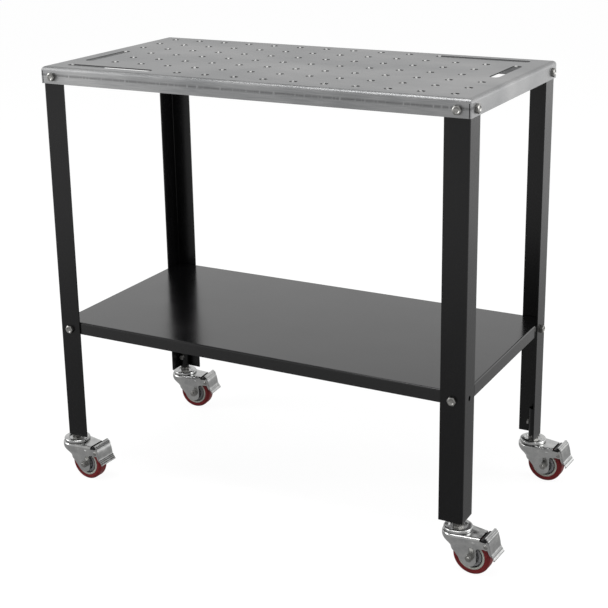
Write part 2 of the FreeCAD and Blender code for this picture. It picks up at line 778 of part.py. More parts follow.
def fork_side(name):
    """Side view of the fork: crown, upper plate, wings round the pedal pin, arch over
    the wheel, the cheek down past the axle and the sloping front edge."""
    front = "(-crown_diameter / 2 - 1)"
    pin_x, pin_z = "pedal_pin_reach", "pedal_pin_height"
    rear = "(trail + cheek_rear)"
    foot = f"({AXLE_HEIGHT} - cheek_foot)"
    points = (
        (front, "crown_top + 1"),
        ("fork_plate_end", "crown_top + 1"),
        ("fork_plate_end", f"{pin_z} + wing_radius"),
        (pin_x, f"{pin_z} + wing_radius", "-wing_radius"),
        (f"{pin_x} + wing_radius", pin_z, "-wing_radius"),
        (pin_x, f"{pin_z} - wing_radius"),
        (f"{rear} + 7", "arch_height", "6.5"),
        (rear, "arch_height - 6"),
        (rear, f"{AXLE_HEIGHT} - 4", "-15"),
        ("trail - 2", foot, "-15"),
        ("trail - 15", f"{foot} + 4.5"),
        ("trail - 31", f"{foot} + 22.5", "60"),
        ("trail - 46", f"{foot} + 28"),
        (front, f"{foot} + 28"),
    )
    drawing = doc.addObject("Sketcher::SketchObject", f"{name}_view")
    drawing.Placement = FreeCAD.Placement(
        FreeCAD.Vector(), FreeCAD.Rotation(X_AXIS, 90)
    )
    outline(drawing, points)
    side = doc.addObject("Part::Extrusion", name)
    side.Base = drawing
    side.DirMode = "Normal"
    side.Symmetric = True
    side.Solid = True
    bind(side, LengthFwd="crown_diameter + 10")
    return side


def rod(name, axis, radius, length, x="0", y="0", z="0"):
    """A plain cylinder along an axis, about its middle, for drilling."""
    thing = doc.addObject("Part::Cylinder", name)
    bind(thing, Radius=radius, Height=length)
    middle = FreeCAD.Vector(size(x), size(y), size(z))
    turn = FreeCAD.Rotation(Z_AXIS, axis)
    start = middle - axis * (size(length) / 2)
    thing.Placement = FreeCAD.Placement(start, turn)
    return thing


def make_fork(corner, x, y, turn):
    """Stamped fork: round crown, upper plate, two cheeks that joggle in to the axle,
    open at the rear and below."""
    outer = fork_form(f"fork_outer_{corner}", "0", "crown_top", "crown_diameter + 30")
    inner_top = "crown_top - fork_sheet"
    inner = fork_form(f"fork_inner_{corner}", "fork_sheet", inner_top, "crown_diameter + 40")
    side = fork_side(f"fork_side_{corner}")
    width = "crown_diameter"
    stem_hole = rod(
        f"fork_bore_{corner}", Z_AXIS, "stem_diameter / 2 + fit_gap", "20", z="crown_top"
    )
    axle_hole = rod(
        f"fork_axle_{corner}", Y_AXIS, "axle_diameter / 2 + fit_gap", width,
        x="trail", z=AXLE_HEIGHT,
    )
    pin_hole = rod(
        f"fork_pin_{corner}", Y_AXIS, "pedal_pin_diameter / 2 + fit_gap", width,
        x="pedal_pin_reach", z="pedal_pin_height",
    )
    doc.recompute()
    blank = doc.addObject("Part::Fillet", f"fork_form_{corner}")
    blank.Base = outer
    top = size("crown_top")
    rear = size("crown_diameter + 30")
    shoulder = size("crown_shoulder")
    rounded = []
    for number, edge in enumerate(outer.Shape.Edges, start=1):
        at_rear = all(abs(v.X - rear) < 1e-6 for v in edge.Vertexes)
        if is_level(edge, top) and not at_rear:
            rounded.append((number, shoulder, shoulder))
    blank.Edges = rounded
    form = doc.addObject("Part::Common", f"fork_blank_{corner}")
    form.Base = blank
    form.Tool = side
    shell = doc.addObject("Part::Cut", f"fork_shell_{corner}")
    shell.Base = form
    shell.Tool = inner
    holes = doc.addObject("Part::MultiFuse", f"fork_holes_{corner}")
    holes.Shapes = [stem_hole, axle_hole, pin_hole]
    fork = doc.addObject("Part::Cut", f"fork_{corner}")
    fork.Base = shell
    fork.Tool = holes
    place(fork, x, y, FLOOR, turn)
    node(fork, f"fork_{corner}")


def on_axle(piece, x, y, turn):
    """Sets a piece that is drawn along Z, about the axle's middle, on the axle."""
    spin = FreeCAD.Rotation(Z_AXIS, turn)
    reach = spin.multVec(FreeCAD.Vector(size("trail"), 0, 0))
    middle = FreeCAD.Vector(size(x), size(y), size(f"{FLOOR} + {AXLE_HEIGHT}"))
    across = FreeCAD.Rotation(X_AXIS, 90)
    piece.Placement = FreeCAD.Placement(middle + reach, spin.multiply(across))


def make_wheel(corner, x, y, turn):
    """Core, tyre and spacer sleeve, turned about Z and laid on the axle."""
    half = "(wheel_width / 2)"
    rim_face = f"({half} - 1)"
    bore = "sleeve_diameter / 2 + fit_gap"
    rim_out = "hub_diameter / 2"
    rim_in = f"({rim_out} - hub_rim)"
    ring_out = f"({rim_in} - hub_groove)"
    ring_in = f"({ring_out} - hub_ring)"
    ring_face = f"({half} - hub_ring_drop)"
    one_side = (
        (bore, half),
        ("hub_boss / 2", half),
        ("hub_boss / 2", "hub_web / 2"),
        (ring_in, "hub_web / 2"),
        (ring_in, ring_face),
        (ring_out, ring_face),
        (ring_out, "hub_web / 2"),
        (rim_in, "hub_web / 2"),
        (rim_in, rim_face),
        (rim_out, rim_face),
    )
    other_side = tuple((reach, f"-{height}") for reach, height in reversed(one_side))
    hub = turned_piece(f"wheel_core_{corner}", one_side + other_side)
    tread = "wheel_diameter / 2"
    seat = f"({rim_out} + fit_gap)"
    points = (
        (seat, f"-{rim_face}"),
        (f"{tread} - 5", f"-{half}", "5.5"),
        (tread, f"-{half} + 5"),
        (tread, f"{half} - 5", "5.5"),
        (f"{tread} - 5", half),
        (seat, rim_face),
    )
    tyre = turned_piece(f"tyre_{corner}", points)
    inside = "(cheek_half_width - fork_sheet)"
    points = (
        ("axle_diameter / 2 + fit_gap", f"-{inside}"),
        ("sleeve_diameter / 2", f"-{inside}"),
        ("sleeve_diameter / 2", inside),
        ("axle_diameter / 2 + fit_gap", inside),
    )
    sleeve = turned_piece(f"axle_sleeve_{corner}", points)
    for piece, label in ((hub, "wheel_core"), (tyre, "tyre"), (sleeve, "axle_sleeve")):
        on_axle(piece, x, y, turn)
        node(piece, f"{label}_{corner}")


def make_axle(corner, x, y, turn):
    """Axle bolt from one cheek to the other, with its nut."""
    grip = "2 * cheek_half_width + axle_nut + 2"
    args = ("axle_across", "axle_head", "axle_diameter", grip)
    bolt = hex_bolt(f"axle_bolt_{corner}", *args)
    nut = hex_nut(f"axle_nut_{corner}", "axle_across", "axle_nut", "axle_diameter")
    reach = size("cheek_half_width")
    for piece, step, flip in ((bolt, reach, 0.0), (nut, -reach, 180.0)):
        on_axle(piece, x, y, turn)
        spin = piece.Placement.Rotation
        out = spin.multVec(Z_AXIS) * -step
        turned = spin.multiply(FreeCAD.Rotation(X_AXIS, 180.0 - flip))
        piece.Placement = FreeCAD.Placement(piece.Placement.Base + out, turned)
    node(bolt, f"axle_bolt_{corner}")
    node(nut, f"axle_nut_{corner}")


# The pedal's tread from its top edge down to the lip, from the pedal pin.
TREAD = (("-0.4", "18.6"), ("6.6", "11.0"), ("9.4", "4.0"), ("11.2", "-4.0"), ("11.8", "-13.4"))
RIDGES = (1.8, 4.9, 8.0)


def from_pin(points):
    """Points given from the pedal pin, as points of the caster's side view."""
    placed = []
    for point in points:
        x, z = f"pedal_pin_reach + {point[0]}", f"pedal_pin_height + {point[1]}"
        placed.append((x, z) + tuple(point[2:]))
    return tuple(placed)


def ridges():
    """Half-round ridges pressed into the upper flat of the tread."""
    top, bend = (tuple(float(n) for n in point) for point in TREAD[:2])
    length = math.hypot(bend[0] - top[0], bend[1] - top[1])
    along = ((bend[0] - top[0]) / length, (bend[1] - top[1]) / length)
    points = []
    for middle in RIDGES:
        for side, arc in ((-1, ("-pedal_ridge",)), (1, ())):
            reach = f"({middle} + {side} * pedal_ridge * 0.95)"
            x = f"({top[0]} + {along[0]} * {reach})"
            z = f"({top[1]} + {along[1]} * {reach})"
            points.append((x, z) + arc)
    return tuple(points)


def make_pedal(corner, x, y, turn):
    """Stamped pedal: a bent and ridged tread, two side flanges on the pin and a
    turned-up lip at its lower end."""
    pedal = body(f"pedal_{corner}")
    flange = (
        ("11.8", "-20.8"),
        ("10.2", "-21.8"),
        ("6.0", "-16.0"),
        ("3.4", "-10.8"),
        ("0", "-pedal_ear", "-pedal_ear"),
        ("-pedal_ear", "0"),
        ("-5.6", "5.2"),
        ("-2.4", "9.6"),
        ("2.4", "12.8"),
        ("-2.2", "17.7"),
    )
    view = sketch(pedal, f"pedal_view_{corner}", "XZ_Plane")
    outline(view, from_pin(TREAD[:1] + ridges() + TREAD[1:] + flange))
    pad(pedal, view, "pedal_width", both=True)

    room = sketch(pedal, f"pedal_room_{corner}", "XZ_Plane")
    inner = [(f"({px} - pedal_sheet)", f"({pz} - pedal_sheet / 2)") for px, pz in TREAD]
    outside = (("11.8", "-20.9"), ("11.8", "-30"), ("-12", "-30"), ("-12", "17.7"))
    outline(room, from_pin(tuple(inner) + outside))
    pocket(pedal, room, "pedal_width - 2 * pedal_sheet", both=True)

    lip = sketch(pedal, f"pedal_lip_{corner}", "XZ_Plane")
    low, rim = "-20.8", "(-20.8 + pedal_lip / 2)"
    in_radius = "(pedal_lip - pedal_sheet)"
    middle = "(11.8 + pedal_lip)"
    points = (
        ("11.8", "-13.4"),
        ("10.0", "-13.4"),
        ("11.8", low, "pedal_lip"),
        (middle, f"({low} - pedal_lip)", "pedal_lip"),
        (f"({middle} + pedal_lip)", low),
        (f"({middle} + pedal_lip)", rim),
        (f"({middle} + {in_radius})", rim),
        (f"({middle} + {in_radius})", low, f"-{in_radius}"),
        (middle, f"({low} - {in_radius})", f"-{in_radius}"),
        (f"({middle} - {in_radius})", low),
    )
    outline(lip, from_pin(points))
    pad(pedal, lip, "pedal_width", both=True)

    hole = sketch(pedal, f"pedal_hole_{corner}", "XZ_Plane")
    circle(hole, "pedal_pin_reach", "pedal_pin_height", "pedal_pin_diameter / 2 + fit_gap")
    pocket(pedal, hole, both=True)
    place(pedal, x, y, FLOOR, turn)
    node(pedal, f"pedal_{corner}")


def make_brake_block(corner, x, y, turn):
    """Black block under the pedal: as wide as the pedal above the fork's wings, with
    a nose between the cheeks that ends in the brake shoe."""
    block = body(f"brake_block_{corner}")
    clear = "(wing_radius + 2 * slip_gap)"
    upper = (
        ("-11.2", f"({clear} + 0.3)"),
        ("0", clear, f"-{clear}"),
        (f"{clear} * sin(75)", f"{clear} * cos(75)"),
        ("7.2", "3.0"),
        ("4.4", "9.8"),
        ("-2.5", "17.0"),
        ("-5.8", "11.6"),
        ("-11.0", "11.0"),
    )
    view = sketch(block, f"block_view_{corner}", "XZ_Plane")
    outline(view, from_pin(upper))
    wide = "pedal_width - 2 * pedal_sheet - 2 * fit_gap"
    pad(block, view, wide, both=True)

    shoe = f"({AXLE_HEIGHT} + shoe_gap)"
    nose = list(from_pin((("6.2", "5.4"), ("-4", "10"), ("-7.5", "3"))))
    for angle, bend in ((45, (f"-{shoe}",)), (30, ())):
        point = (f"trail + {shoe} * cos({angle})", f"{AXLE_HEIGHT} + {shoe} * sin({angle})")
        nose.append(point + bend)
    nose += from_pin((("5.4", "-9.6"), ("8.2", "-3")))
    lower = sketch(block, f"nose_view_{corner}", "XZ_Plane")
    outline(lower, nose)
    pad(block, lower, "shoe_width", both=True)

    hole = sketch(block, f"block_hole_{corner}", "XZ_Plane")
    circle(hole, "pedal_pin_reach", "pedal_pin_height", "pedal_pin_diameter / 2 + fit_gap")
    pocket(block, hole, both=True)
    place(block, x, y, FLOOR, turn)
    node(block, f"brake_block_{corner}")


def make_pedal_pin(corner, x, y, turn):
    pin = body(f"pedal_pin_{corner}")
    end = sketch(pin, f"pin_end_{corner}", "XZ_Plane")
    circle(end, "pedal_pin_reach", "pedal_pin_height", "pedal_pin_diameter / 2")
    pad(pin, end, "pedal_width + 1.2", both=True)
    place(pin, x, y, FLOOR, turn)
    node(pin, f"pedal_pin_{corner}")


def make_stem_fasteners():
    """The hexagons at the roots of the stems and the screws in the sockets."""
    nut = hex_nut("stem_nut", "stem_nut_across", "stem_nut_height", "stem_diameter")
    screw = hex_bolt(
        "set_screw", "set_screw_across", "set_screw_head", "set_screw_diameter",
        "socket_diameter / 2 - stem_diameter / 2 - fit_gap",
    )
    nut_seats = []
    screw_seats = []
    for _, quarter, sense_x, sense_y in CORNERS:
        x, y = (size(text) for text in stem_axis(sense_x, sense_y))
        nut_seats.append((FreeCAD.Vector(x, y, size(f"{FLOOR} + {RACE_FLOOR}")), Z_AXIS))
        out = FreeCAD.Rotation(Z_AXIS, 90.0 * quarter).multVec(X_AXIS)
        height = size("-foot_drop + set_screw_height")
        spot = FreeCAD.Vector(x, y, height) + out * size("socket_diameter / 2")
        screw_seats.append((spot, out))
    group("stem_nuts", nut, nut_seats)
    group("set_screws", screw, screw_seats)


def make_caster(corner, sense_x, sense_y):
    x, y = stem_axis(sense_x, sense_y)
    turn = CASTER_TURN[corner]
    make_stem(corner, x, y)
    make_race(corner, x, y)
    make_ball_ring(corner, x, y)
    make_fork(corner, x, y, turn)
    make_axle(corner, x, y, turn)
    make_wheel(corner, x, y, turn)
    make_pedal(corner, x, y, turn)
    make_brake_block(corner, x, y, turn)
    make_pedal_pin(corner, x, y, turn)


# ---------------------------------------------------------------- assembly

make_worktop()
make_shelf()
make_fasteners()
for corner, quarter, sense_x, sense_y in CORNERS:
    make_leg(corner, quarter, sense_x, sense_y)
    make_caster(corner, sense_x, sense_y)
make_stem_fasteners()
doc.recompute()

for thing in doc.Objects:
    if "Invalid" in thing.State or "Error" in thing.State:
        raise RuntimeError(f"{thing.Name} failed: {thing.State}")
for thing in nodes:
    if thing.Shape.isNull() or not thing.Shape.isValid():
        raise RuntimeError(f"{thing.Label} has no valid shape")

os.makedirs("parts", exist_ok=True)
for thing in nodes:
    thing.Shape.exportStep(f"parts/{thing.Label}.step")
    solids = len(thing.Shape.Solids)
    print(f"{thing.Label}: {solids} solid(s), {thing.Shape.Volume / 1000:.2f} cm3")
print(len(nodes), "nodes")
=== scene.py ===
# %% [markdown]
# An assembly table: a perforated steel worktop and a black shelf on four angle legs, which
# roll on swivel casters with foot brakes. Every solid was made to size elsewhere and is
# loaded here as a fixed frame, one object for each real piece. This file gives the pieces
# their finishes, makes finer shapes for the ones where the eye looks for them, and sets up a
# small photo studio around the table.

# %% Load the table's solids
import math

import bpy
from mathutils import Matrix, Vector
from mathutils.bvhtree import BVHTree


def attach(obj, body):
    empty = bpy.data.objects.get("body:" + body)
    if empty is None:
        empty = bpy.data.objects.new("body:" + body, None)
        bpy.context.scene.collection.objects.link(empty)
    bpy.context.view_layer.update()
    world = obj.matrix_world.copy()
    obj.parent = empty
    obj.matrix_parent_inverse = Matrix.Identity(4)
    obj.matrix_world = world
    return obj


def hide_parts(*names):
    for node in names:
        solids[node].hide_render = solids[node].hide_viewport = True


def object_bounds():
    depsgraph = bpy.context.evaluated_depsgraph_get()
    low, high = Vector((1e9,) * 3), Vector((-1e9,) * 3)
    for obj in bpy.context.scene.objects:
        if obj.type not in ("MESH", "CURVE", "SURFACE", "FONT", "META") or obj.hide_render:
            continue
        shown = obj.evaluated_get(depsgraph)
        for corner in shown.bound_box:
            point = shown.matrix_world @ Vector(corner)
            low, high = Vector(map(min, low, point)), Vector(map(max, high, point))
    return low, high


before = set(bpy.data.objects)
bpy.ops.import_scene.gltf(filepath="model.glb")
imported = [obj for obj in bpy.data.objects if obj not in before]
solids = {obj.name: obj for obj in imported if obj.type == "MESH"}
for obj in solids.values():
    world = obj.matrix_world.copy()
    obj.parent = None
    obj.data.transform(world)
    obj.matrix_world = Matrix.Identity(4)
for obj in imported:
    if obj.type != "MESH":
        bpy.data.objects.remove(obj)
solid_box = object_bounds()
CORNERS = ("front_left", "front_right", "rear_right", "rear_left")
print(len(solids), "solids, box", [round(side, 4) for side in solid_box[1] - solid_box[0]])

# %% [markdown]
# Shader nodes read well as sums. A Reading holds one output of a node, and Python's own
# operators add the Math node for each sum. A Board holds the node tree and has one method that
# adds any other node: its type, its settings, the values or readings of its sockets, and the
# output that is wanted.


# %% Shader sums as Python sums
class Reading:
    """One output of a shader node, which Python's operators can reckon with."""

    def __init__(self, board, socket):
        self.board = board
        self.socket = socket

    def reckon(self, operation, *values):
        settings = {"operation": operation}
        return self.board.node("ShaderNodeMath", settings, dict(enumerate(values)))

    def __add__(self, other):
        return self.reckon("ADD", self, other)

    def __mul__(self, other):
        return self.reckon("MULTIPLY", self, other)

    def __rsub__(self, other):
        return self.reckon("SUBTRACT", other, self)

    __radd__ = __add__
    __rmul__ = __mul__

    def kept(self):
        """The same reading, held between 0 and 1."""
        settings = {"operation": "MULTIPLY", "use_clamp": True}
        return self.board.node("ShaderNodeMath", settings, {0: self, 1: 1.0})

    def unsigned(self):
        return self.reckon("ABSOLUTE", self)


print("a Reading can be added to, multiplied, and taken from a number")


# %% A board of nodes
class Board:
    """A node tree with one way to add a node to it."""

    def __init__(self, tree):
        self.tree = tree
        tree.nodes.clear()

    def node(self, kind, settings=None, values=None, out=0):
        """Adds a node and gives the output named by out, or a list where out is a tuple."""
        made = self.tree.nodes.new(kind)
        for name, value in (settings or {}).items():
            if name == "stops":
                self.set_stops(made.color_ramp, value)
            else:
                setattr(made, name, value)
        for name, value in (values or {}).items():
            if isinstance(value, Reading):
                self.tree.links.new(value.socket, made.inputs[name])
            else:
                made.inputs[name].default_value = value
        if isinstance(out, tuple):
            return [Reading(self, made.outputs[name]) for name in out]
        return Reading(self, made.outputs[out]) if made.outputs else None

    def set_stops(self, ramp, stops):
        while len(ramp.elements) < len(stops):
            ramp.elements.new(1.0)
        for element, (place, level) in zip(ramp.elements, stops):
            element.position = place
            element.color = (level, level, level, 1.0)

    def mixed(self, share, first, second):
        """Colour first where share is 0, second where it is 1."""
        values = {0: share, 6: first, 7: second}
        return self.node("ShaderNodeMix", {"data_type": "RGBA"}, values, out=2)

    def place(self, stretch=(1.0, 1.0, 1.0)):
        """Where on the piece a point is, in metres, with each axis stretched."""
        where = self.node("ShaderNodeTexCoord", out="Object")
        return self.node("ShaderNodeMapping", None, {"Vector": where, "Scale": stretch})

    def noise(self, per_metre, detail=2.0, stretch=(1.0, 1.0, 1.0)):
        """Soft noise between 0 and 1 with that many lumps in a metre."""
        values = {"Vector": self.place(stretch), "Scale": per_metre, "Detail": detail}
        return self.node("ShaderNodeTexNoise", None, values)

    def ramp(self, reading, *stops):
        return self.node("ShaderNodeValToRGB", {"stops": stops}, {"Fac": reading})

    def parts(self, vector):
        """The X, Y and Z of a vector."""
        return self.node("ShaderNodeSeparateXYZ", None, {0: vector}, out=("X", "Y", "Z"))

    def bump(self, height, depth=1.0):
        """The normal of a surface that rises by height times depth, in metres."""
        values = {"Height": height, "Strength": 1.0, "Distance": depth}
        return self.node("ShaderNodeBump", None, values)


print("a Board can add", ", ".join(name for name in vars(Board) if not name.startswith("_")))


# %% Colours, and the start and end of a finish
def colour(red, green, blue):
    """A colour given as 0 to 255 on screen, as the shader wants it."""
    shares = [level / 255 for level in (red, green, blue)]
    levels = [
        share / 12.92 if share < 0.04045 else ((share + 0.055) / 1.055) ** 2.4
        for share in shares
    ]
    return (*levels, 1.0)


def new_finish(name):
    """An empty material and the board of its nodes."""
    made = bpy.data.materials.new(name)
    made.use_nodes = True
    return made, Board(made.node_tree)


def coat_over(board, **sockets):
    """Ends a finish: the main shader with these sockets. A name's _ stands for a space."""
    values = {name.replace("_", " "): value for name, value in sockets.items()}
    shader = board.node("ShaderNodeBsdfPrincipled", None, values)
    board.node("ShaderNodeOutputMaterial", None, {"Surface": shader})


print("mid grey on screen is", round(colour(127, 127, 127)[0], 3), "in the shader")

# %% [markdown]
# The worktop is galvanised sheet, rolled and brushed lengthwise. Its zinc is cloudy, so the grey
# drifts over a hand's width, and fine lines run along the table. Both move the colour and the
# roughness a little, and the lines also tilt the normal. Two masks follow. The jaw of the
# folding press has left a faint broken line halfway down the front skirt. The walls of the holes
# and slots get a painted glint and painted shade: they are found where the normal lies flat and
# the height is still within the sheet, and a ramp on the sideways lean of their normal paints
# them bright on one side and dark on the others.


# %% Mark of the press, and painted glint and shade on the walls of holes
PRESS_LINE = 0.0172
PRESS_LINE_HALF = (0.0002, 0.0005)
FRONT_SKIRT = (0.2, 0.22)
WALL_LEAN = (0.2, 0.5)
WALL_DEPTH = (0.0027, 0.0031)
# Stops of the painted glint and painted shade on a wall, by the sideways lean of its normal.
PAINTED_WALL_GLINT = (
    (0.04, 0.0), (0.12, 0.6), (0.2, 0.0), (0.62, 0.0), (0.68, 1.0), (0.86, 1.0), (0.92, 0.0)
)


def below(board, reading, limits):
    """1 below the first limit, 0 above the second."""
    return board.ramp(reading, (limits[0], 1.0), (limits[1], 0.0))


def press_line(board):
    """1 on the broken line of the press, 0 beside it."""
    _, back, height = board.parts(board.place())
    breaks = board.ramp(board.noise(140.0, 3.0, (1.0, 0.0, 0.0)), (0.36, 0.0), (0.46, 1.0))
    at_front = board.ramp(0 - back, (FRONT_SKIRT[0], 0.0), (FRONT_SKIRT[1], 1.0))
    return below(board, (height + PRESS_LINE).unsigned(), PRESS_LINE_HALF) * breaks * at_front


def wall_and_painted_glint(board):
    """Where the wall of a hole or slot is, and the painted glint and shade on it by the lean of
    its normal.
    """
    _, _, height = board.parts(board.place())
    sideways, _, upright = board.parts(board.node("ShaderNodeNewGeometry", out="Normal"))
    wall = below(board, upright.unsigned(), WALL_LEAN) * below(board, 0 - height, WALL_DEPTH)
    return wall.kept(), board.ramp(0.5 + 0.5 * sideways, *PAINTED_WALL_GLINT)


print("press line", PRESS_LINE, "m below the face")


# %% Galvanised sheet of the worktop
def galvanised_sheet():
    made, board = new_finish("galvanised_sheet")
    clouds = board.noise(7.0, 3.0, (0.5, 1.0, 1.0))
    lines = board.noise(900.0, 2.0, (0.03, 1.0, 1.0))
    grain = board.noise(1600.0, 1.0)
    tone = (0.55 * clouds + 0.3 * lines + 0.15 * grain).kept()
    zinc = board.mixed(
        board.ramp(tone, (0.38, 0.0), (0.62, 1.0)), colour(126, 127, 128), colour(160, 160, 160)
    )
    scuff = press_line(board)
    cut, painted_glint = wall_and_painted_glint(board)
    skin = board.mixed(0.5 * scuff, zinc, colour(62, 62, 63))
    # Painted shade (dark) and painted glint (bright) on the walls, which are made less metallic
    # so the painted colour shows.
    edge = board.mixed(painted_glint, colour(30, 30, 31), colour(244, 244, 242))
    coat_over(
        board,
        Base_Color=board.mixed(cut, skin, edge),
        Metallic=1.0 - 0.85 * cut,
        Roughness=0.34 + 0.16 * clouds + 0.06 * lines + 0.1 * scuff,
        Normal=board.bump(0.00004 * lines + 0.00002 * grain + 0.0003 * (1 - scuff)),
    )
    return made


finishes = {"galvanised_sheet": galvanised_sheet()}
print("made", finishes["galvanised_sheet"].name)

# %% [markdown]
# The legs and the shelf are powder coated. Powder melts into a skin with the faint waves of an
# orange's peel, which a noise of about three lumps in 10 mm gives through the normal. The
# legs' powder is satin and the shelf's is glossy, so they differ mostly in roughness. Lengths,
# such as the depth of the peel, are in metres.


# %% Black powder coats
def powder_coat(name, roughness, peel, gloss):
    """Black powder with that roughness, depth of its peel and strength of its shine."""
    made, board = new_finish(name)
    smudges = board.noise(11.0, 4.0)
    waves = board.noise(320.0, 1.0)
    specks = board.noise(2400.0, 0.0)
    coat_over(
        board,
        Base_Color=board.mixed(smudges, colour(5, 5, 6), colour(10, 10, 11)),
        Roughness=roughness + 0.12 * smudges + 0.05 * specks,
        Specular_IOR_Level=gloss,
        Normal=board.bump(waves + 0.2 * specks, peel),
    )
    return made


finishes["black_coat"] = powder_coat("black_coat", 0.17, 0.00004, 0.27)
finishes["black_gloss_coat"] = powder_coat("black_gloss_coat", 0.1, 0.00002, 0.5)
print("made the two black coats")

# %% [markdown]
# Bolts, nuts and the pressed caster parts are bright zinc. Plating is even, but handling and
# the press leave cloudy patches and short fine scratches, so roughness varies more than colour.
# Pressed sheet is also a little wavy, which bends its reflections.


# %% Bright zinc, and the steel of the bearings
def bright_metal(name, dull, bright, roughness, scratch=0.00003, waves=0.0):
    """Metal between a dull and a bright colour. Scratch and waves are depths."""
    made, board = new_finish(name)
    patches = board.noise(60.0, 3.0)
    scratches = board.noise(900.0, 2.0, (1.0, 0.15, 0.4))
    height = scratch * scratches
    if waves:
        height = height + waves * board.noise(42.0, 1.0)
    coat_over(
        board,
        Base_Color=board.mixed(patches, dull, bright),
        Metallic=1.0,
        Roughness=roughness + 0.18 * patches + 0.08 * scratches,
        Normal=board.bump(height),
    )
    return made


finishes["zinc_fastener"] = bright_metal(
    "zinc_fastener", colour(118, 118, 116), colour(162, 161, 158), 0.2
)
finishes["zinc_sheet"] = bright_metal(
    "zinc_sheet", colour(152, 153, 154), colour(206, 206, 204), 0.1, waves=0.0011
)
finishes["bearing_steel"] = bright_metal(
    "bearing_steel", colour(120, 120, 122), colour(165, 165, 166), 0.14
)
print("made the bright metals")

# %% [markdown]
# The wheel core is grey moulded plastic whose rim is painted paler as a highlight, the tyre is
# dark red rubber and the brake block is black plastic. Moulded parts are even in colour, with a
# fine satin skin. One plain colour would do from afar but looks like a toy from near by, so slow
# patches move the colour and the roughness, and fine pores tilt the normal.


# %% Moulded plastic and rubber
def moulded(name, deep, light, roughness, skin, gloss=0.5):
    """Plastic or rubber between two colours. Skin is the depth of its pores."""
    made, board = new_finish(name)
    patches = board.noise(45.0, 3.0)
    pores = board.noise(2600.0, 2.0)
    coat_over(
        board,
        Base_Color=board.mixed(patches, deep, light),
        Roughness=roughness + 0.14 * patches,
        Specular_IOR_Level=gloss,
        Normal=board.bump(pores, skin),
    )
    return made


MOULDINGS = {
    "grey_core": (colour(104, 104, 106), colour(120, 120, 121), 0.38, 0.00003),
    # The rim's paler colour is a painted highlight.
    "pale_rim": (colour(142, 144, 136), colour(158, 160, 152), 0.36, 0.00003),
    "red_tyre": (colour(86, 3, 6), colour(108, 6, 10), 0.34, 0.00004, 0.28),
    "black_block": (colour(8, 8, 9), colour(15, 15, 16), 0.3, 0.00004, 0.25),
}
for name, looks in MOULDINGS.items():
    finishes[name] = moulded(name, *looks)
print(len(finishes), "finishes")

# %% [markdown]
# Each solid gets the finish of the real piece. The solid stays as it is: only the material in
# its slots changes. The four corners hold the same pieces, so a name is looked up without its
# corner, and one row of the table does for all four.

# %% Give every solid its finish
FINISH_OF = {
    "worktop": "galvanised_sheet",
    "shelf": "black_gloss_coat",
    "leg": "black_coat",
    "worktop_bolts": "zinc_fastener",
    "worktop_nuts": "zinc_fastener",
    "shelf_bolts": "zinc_fastener",
    "shelf_nuts": "zinc_fastener",
    "stem_nuts": "zinc_fastener",
    "set_screws": "zinc_fastener",
    "caster_stem": "zinc_fastener",
    "upper_race": "zinc_sheet",
    "ball_ring": "bearing_steel",
    "fork": "zinc_sheet",
    "axle_bolt": "zinc_fastener",
    "axle_nut": "zinc_fastener",
    "axle_sleeve": "bearing_steel",
    "wheel_core": "grey_core",
    "tyre": "red_tyre",
    "pedal": "zinc_sheet",
    "brake_block": "black_block",
    "pedal_pin": "zinc_fastener",
}


def kind_of(name):
    """The node's name without the corner it stands at."""
    for corner in CORNERS:
        name = name.removesuffix("_" + corner)
    return name


for name, solid in solids.items():
    solid.data.materials.clear()
    solid.data.materials.append(finishes[FINISH_OF[kind_of(name)]])
print("finished", len(solids), "solids")

# %% [markdown]
# No edge of a real piece is a knife edge: a punch rolls the rim of a hole, and powder and
# plating round every corner. A Bevel modifier rounds the edges that turn by more than a limit
# and leaves the solid's own points alone, so its size stays. Plain edges would stay black,
# while rounded ones catch the light as a thin bright line.

# %% Round the edges of the solids
SHARP_TURN = 35
PLAIN_ROUND = 0.0002
EDGE_ROUND = {
    "worktop": 0.0008,
    "shelf": 0.0005,
    "leg": 0.0005,
    "fork": 0.0004,
    "pedal": 0.0003,
    "brake_block": 0.0006,
    "upper_race": 0.0003,
    "wheel_core": 0.0004,
    "tyre": 0.0006,
}


def soften(piece, width, segments=2, turn=SHARP_TURN):
    """Rounds the edges that turn by more than turn degrees."""
    rounded = piece.modifiers.new("rounded_edges", "BEVEL")
    rounded.width = width
    rounded.segments = segments
    rounded.limit_method = "ANGLE"
    rounded.angle_limit = math.radians(turn)
    rounded.harden_normals = True


for name, solid in solids.items():
    soften(solid, EDGE_ROUND.get(kind_of(name), PLAIN_ROUND))
print("rounded edges from", min(EDGE_ROUND.values()), "to", max(EDGE_ROUND.values()), "m")

# %% [markdown]
# A forged bolt head is a hexagon whose corners are turned off by a cone, with a dish pressed
# into its top and a round washer face below. A nut is turned off at both ends. A hexagon is
# awkward to bevel that way, but easy to build from rings of points: each ring is a circle or a
# hexagon that runs round the axis, and the cone lowers a point by how far out it lies.

# %% Rings of points, joined into a skin
RING_POINTS = 48
MM = 0.001


def ring(reach, height):
    """Points round the Z axis in millimetres. Reach and height may depend on the angle."""
    points = []
    for step in range(RING_POINTS):
        angle = math.tau * step / RING_POINTS
        out = reach(angle) if callable(reach) else reach
        high = height(angle) if callable(height) else height
        points.append(Vector((out * math.cos(angle), out * math.sin(angle), high)) * MM)
    return points


def skin(rings, closed=False):
    """Faces between rings that follow each other. Closed joins the last to the first; if not,
    the first and the last ring get a lid."""
    points = [point for each in rings for point in each]
    last = len(rings) - 1
    pairs = [(low, low + 1) for low in range(last)]
    if closed:
        pairs.append((last, 0))
    faces = []
    for low, high in pairs:
        for step in range(RING_POINTS):
            after = (step + 1) % RING_POINTS
            faces.append((
                low * RING_POINTS + step, low * RING_POINTS + after,
                high * RING_POINTS + after, high * RING_POINTS + step,
            ))
    if not closed:
        faces.append(tuple(reversed(range(RING_POINTS))))
        faces.append(tuple(range(last * RING_POINTS, len(points))))
    return points, faces


